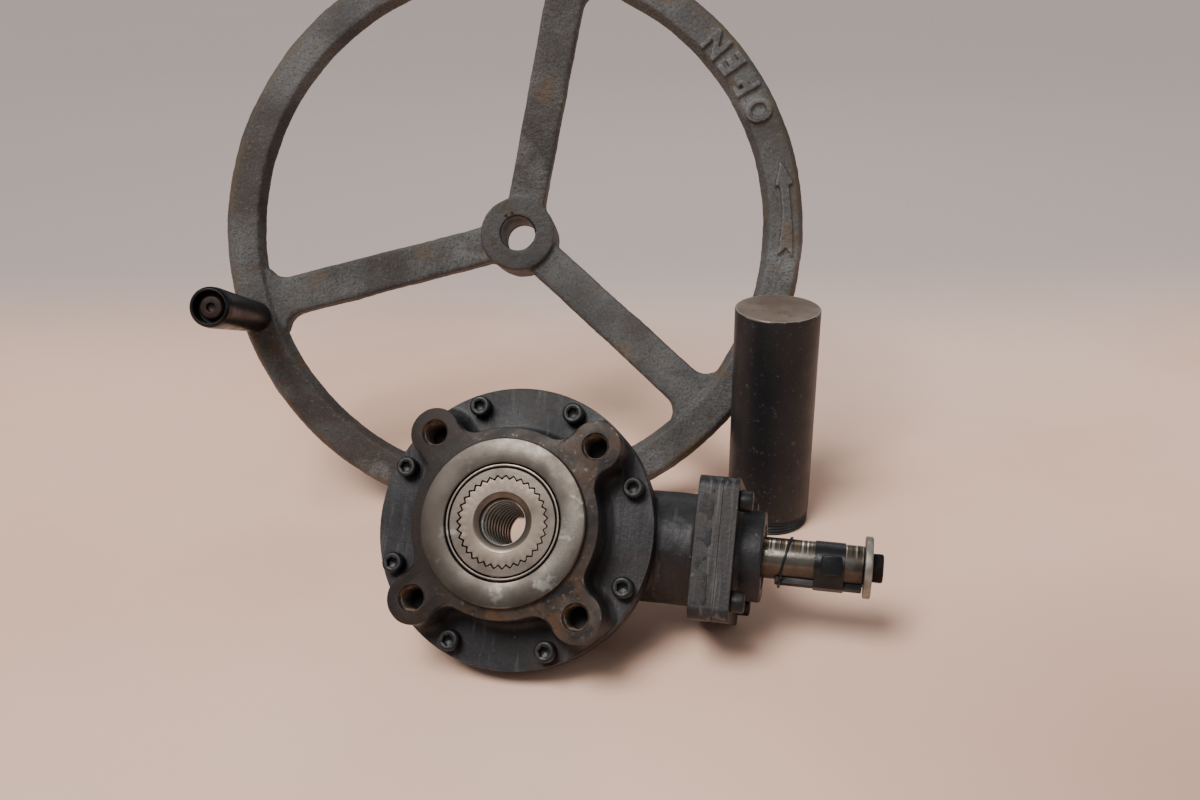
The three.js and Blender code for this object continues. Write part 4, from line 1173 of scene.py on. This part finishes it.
def handle():
    ring_piece("handle_grip_body", [
        (5.1, RIM_HALF + 0.3), (10.8, RIM_HALF + 0.3, 0.8), (11.8, 13, 1.5), (12.1, 30, 40),
        (13.6, 75, 60), (14.4, 97, 4), (14.0, 103.5, 1.5), (12.6, GRIP_TIP, 1.0),
        (11.3, GRIP_TIP, 0.5), (11.1, 95.2, 0.6), (5.1, 95.2)],
        HANDLE, GLOSS_BLACK, "grip", "handle_plastic", "handle_grip", segments=80)
    screw = lathe("handle_screw", rounded([
        (0.01, -19), (4.4, -19, 0.5), (4.4, 95.4), (8.3, 95.6, 0.4), (8.6, 99.6, 1.4), (7.4, 101.2, 1.0),
        (3.2, 101.6, 0.4), (2.7, 98.6, 0.3), (0.01, 98.4)], steps=4), HANDLE, RUSTY_SCREW, segments=48)
    stands_for(screw, "wheel", "dark_screws", "handle_spindle")
    loops = [hexagon(6.5, -RIM_HALF - z, limit) for z, limit in ((7, 6.9), (6.2, 7.5), (1.1, 7.5),
                                                                 (0.3, 6.9))]
    loops += [circle(4.6, -RIM_HALF - 0.3, 72), circle(4.6, -RIM_HALF - 7, 72)]
    nut = skin("handle_hex_nut", loops, HANDLE, OXIDE, closed=True)
    stands_for(nut, "wheel", "dark_screws", "handle_nut")


# ---- stem cover ----
def stem_cover():
    top = COVER_HEIGHT - COVER_CAP - 0.1
    bore = COVER_R - 3.9
    profile = [(bore, 0), (COVER_R - 1.9, 0)]
    z = 0.4
    while z < 9:
        profile.append((COVER_R - 1.5 + z * 0.04, z))
        profile.append((COVER_R - 0.55 + z * 0.04, z + PIPE_PITCH / 2))
        z += PIPE_PITCH
    profile += rounded([(COVER_R - 0.9, 10.0), (COVER_R, 11.6, 1.0), (COVER_R, top)], steps=3)
    profile += [(bore, top)]
    tube = lathe("stem_cover_pipe", profile, COVER, COVER_PAINT, closed=True, segments=128)
    stands_for(tube, "cover", "cover_paint", "stem_cover_tube")
    cap = lathe("stem_cover_end", rounded([
        (0.01, top + 0.02), (COVER_R, top + 0.02), (COVER_R, COVER_HEIGHT, 0.8),
        (0.01, COVER_HEIGHT)], steps=5), COVER, COVER_PAINT, CAP,
        segments=128)
    face_materials(cap, lambda centre, normal: 1 if normal.z > 0.75 else 0)
    stands_for(cap, "cover", "cover_cap_steel", "stem_cover_cap")


# ---- floor ----
def floor():
    reach = 9000
    made = mesh_object("floor", [(-reach, -reach, 0), (reach, -reach, 0), (reach, reach, 0),
                                 (-reach, reach, 0)], [(0, 1, 2, 3)], Matrix.Identity(4), FLOOR)


floor()
front_cover()
gearbox_screws()
housing()
bearing_carrier()
sleeve_and_nut()
input_side()
handwheel()
handle()
stem_cover()

# The pieces inside the gearbox keep their CAD shapes.
for node in frame["nodes"].values():
    for entry in node.material_slots:
        entry.material = INNER
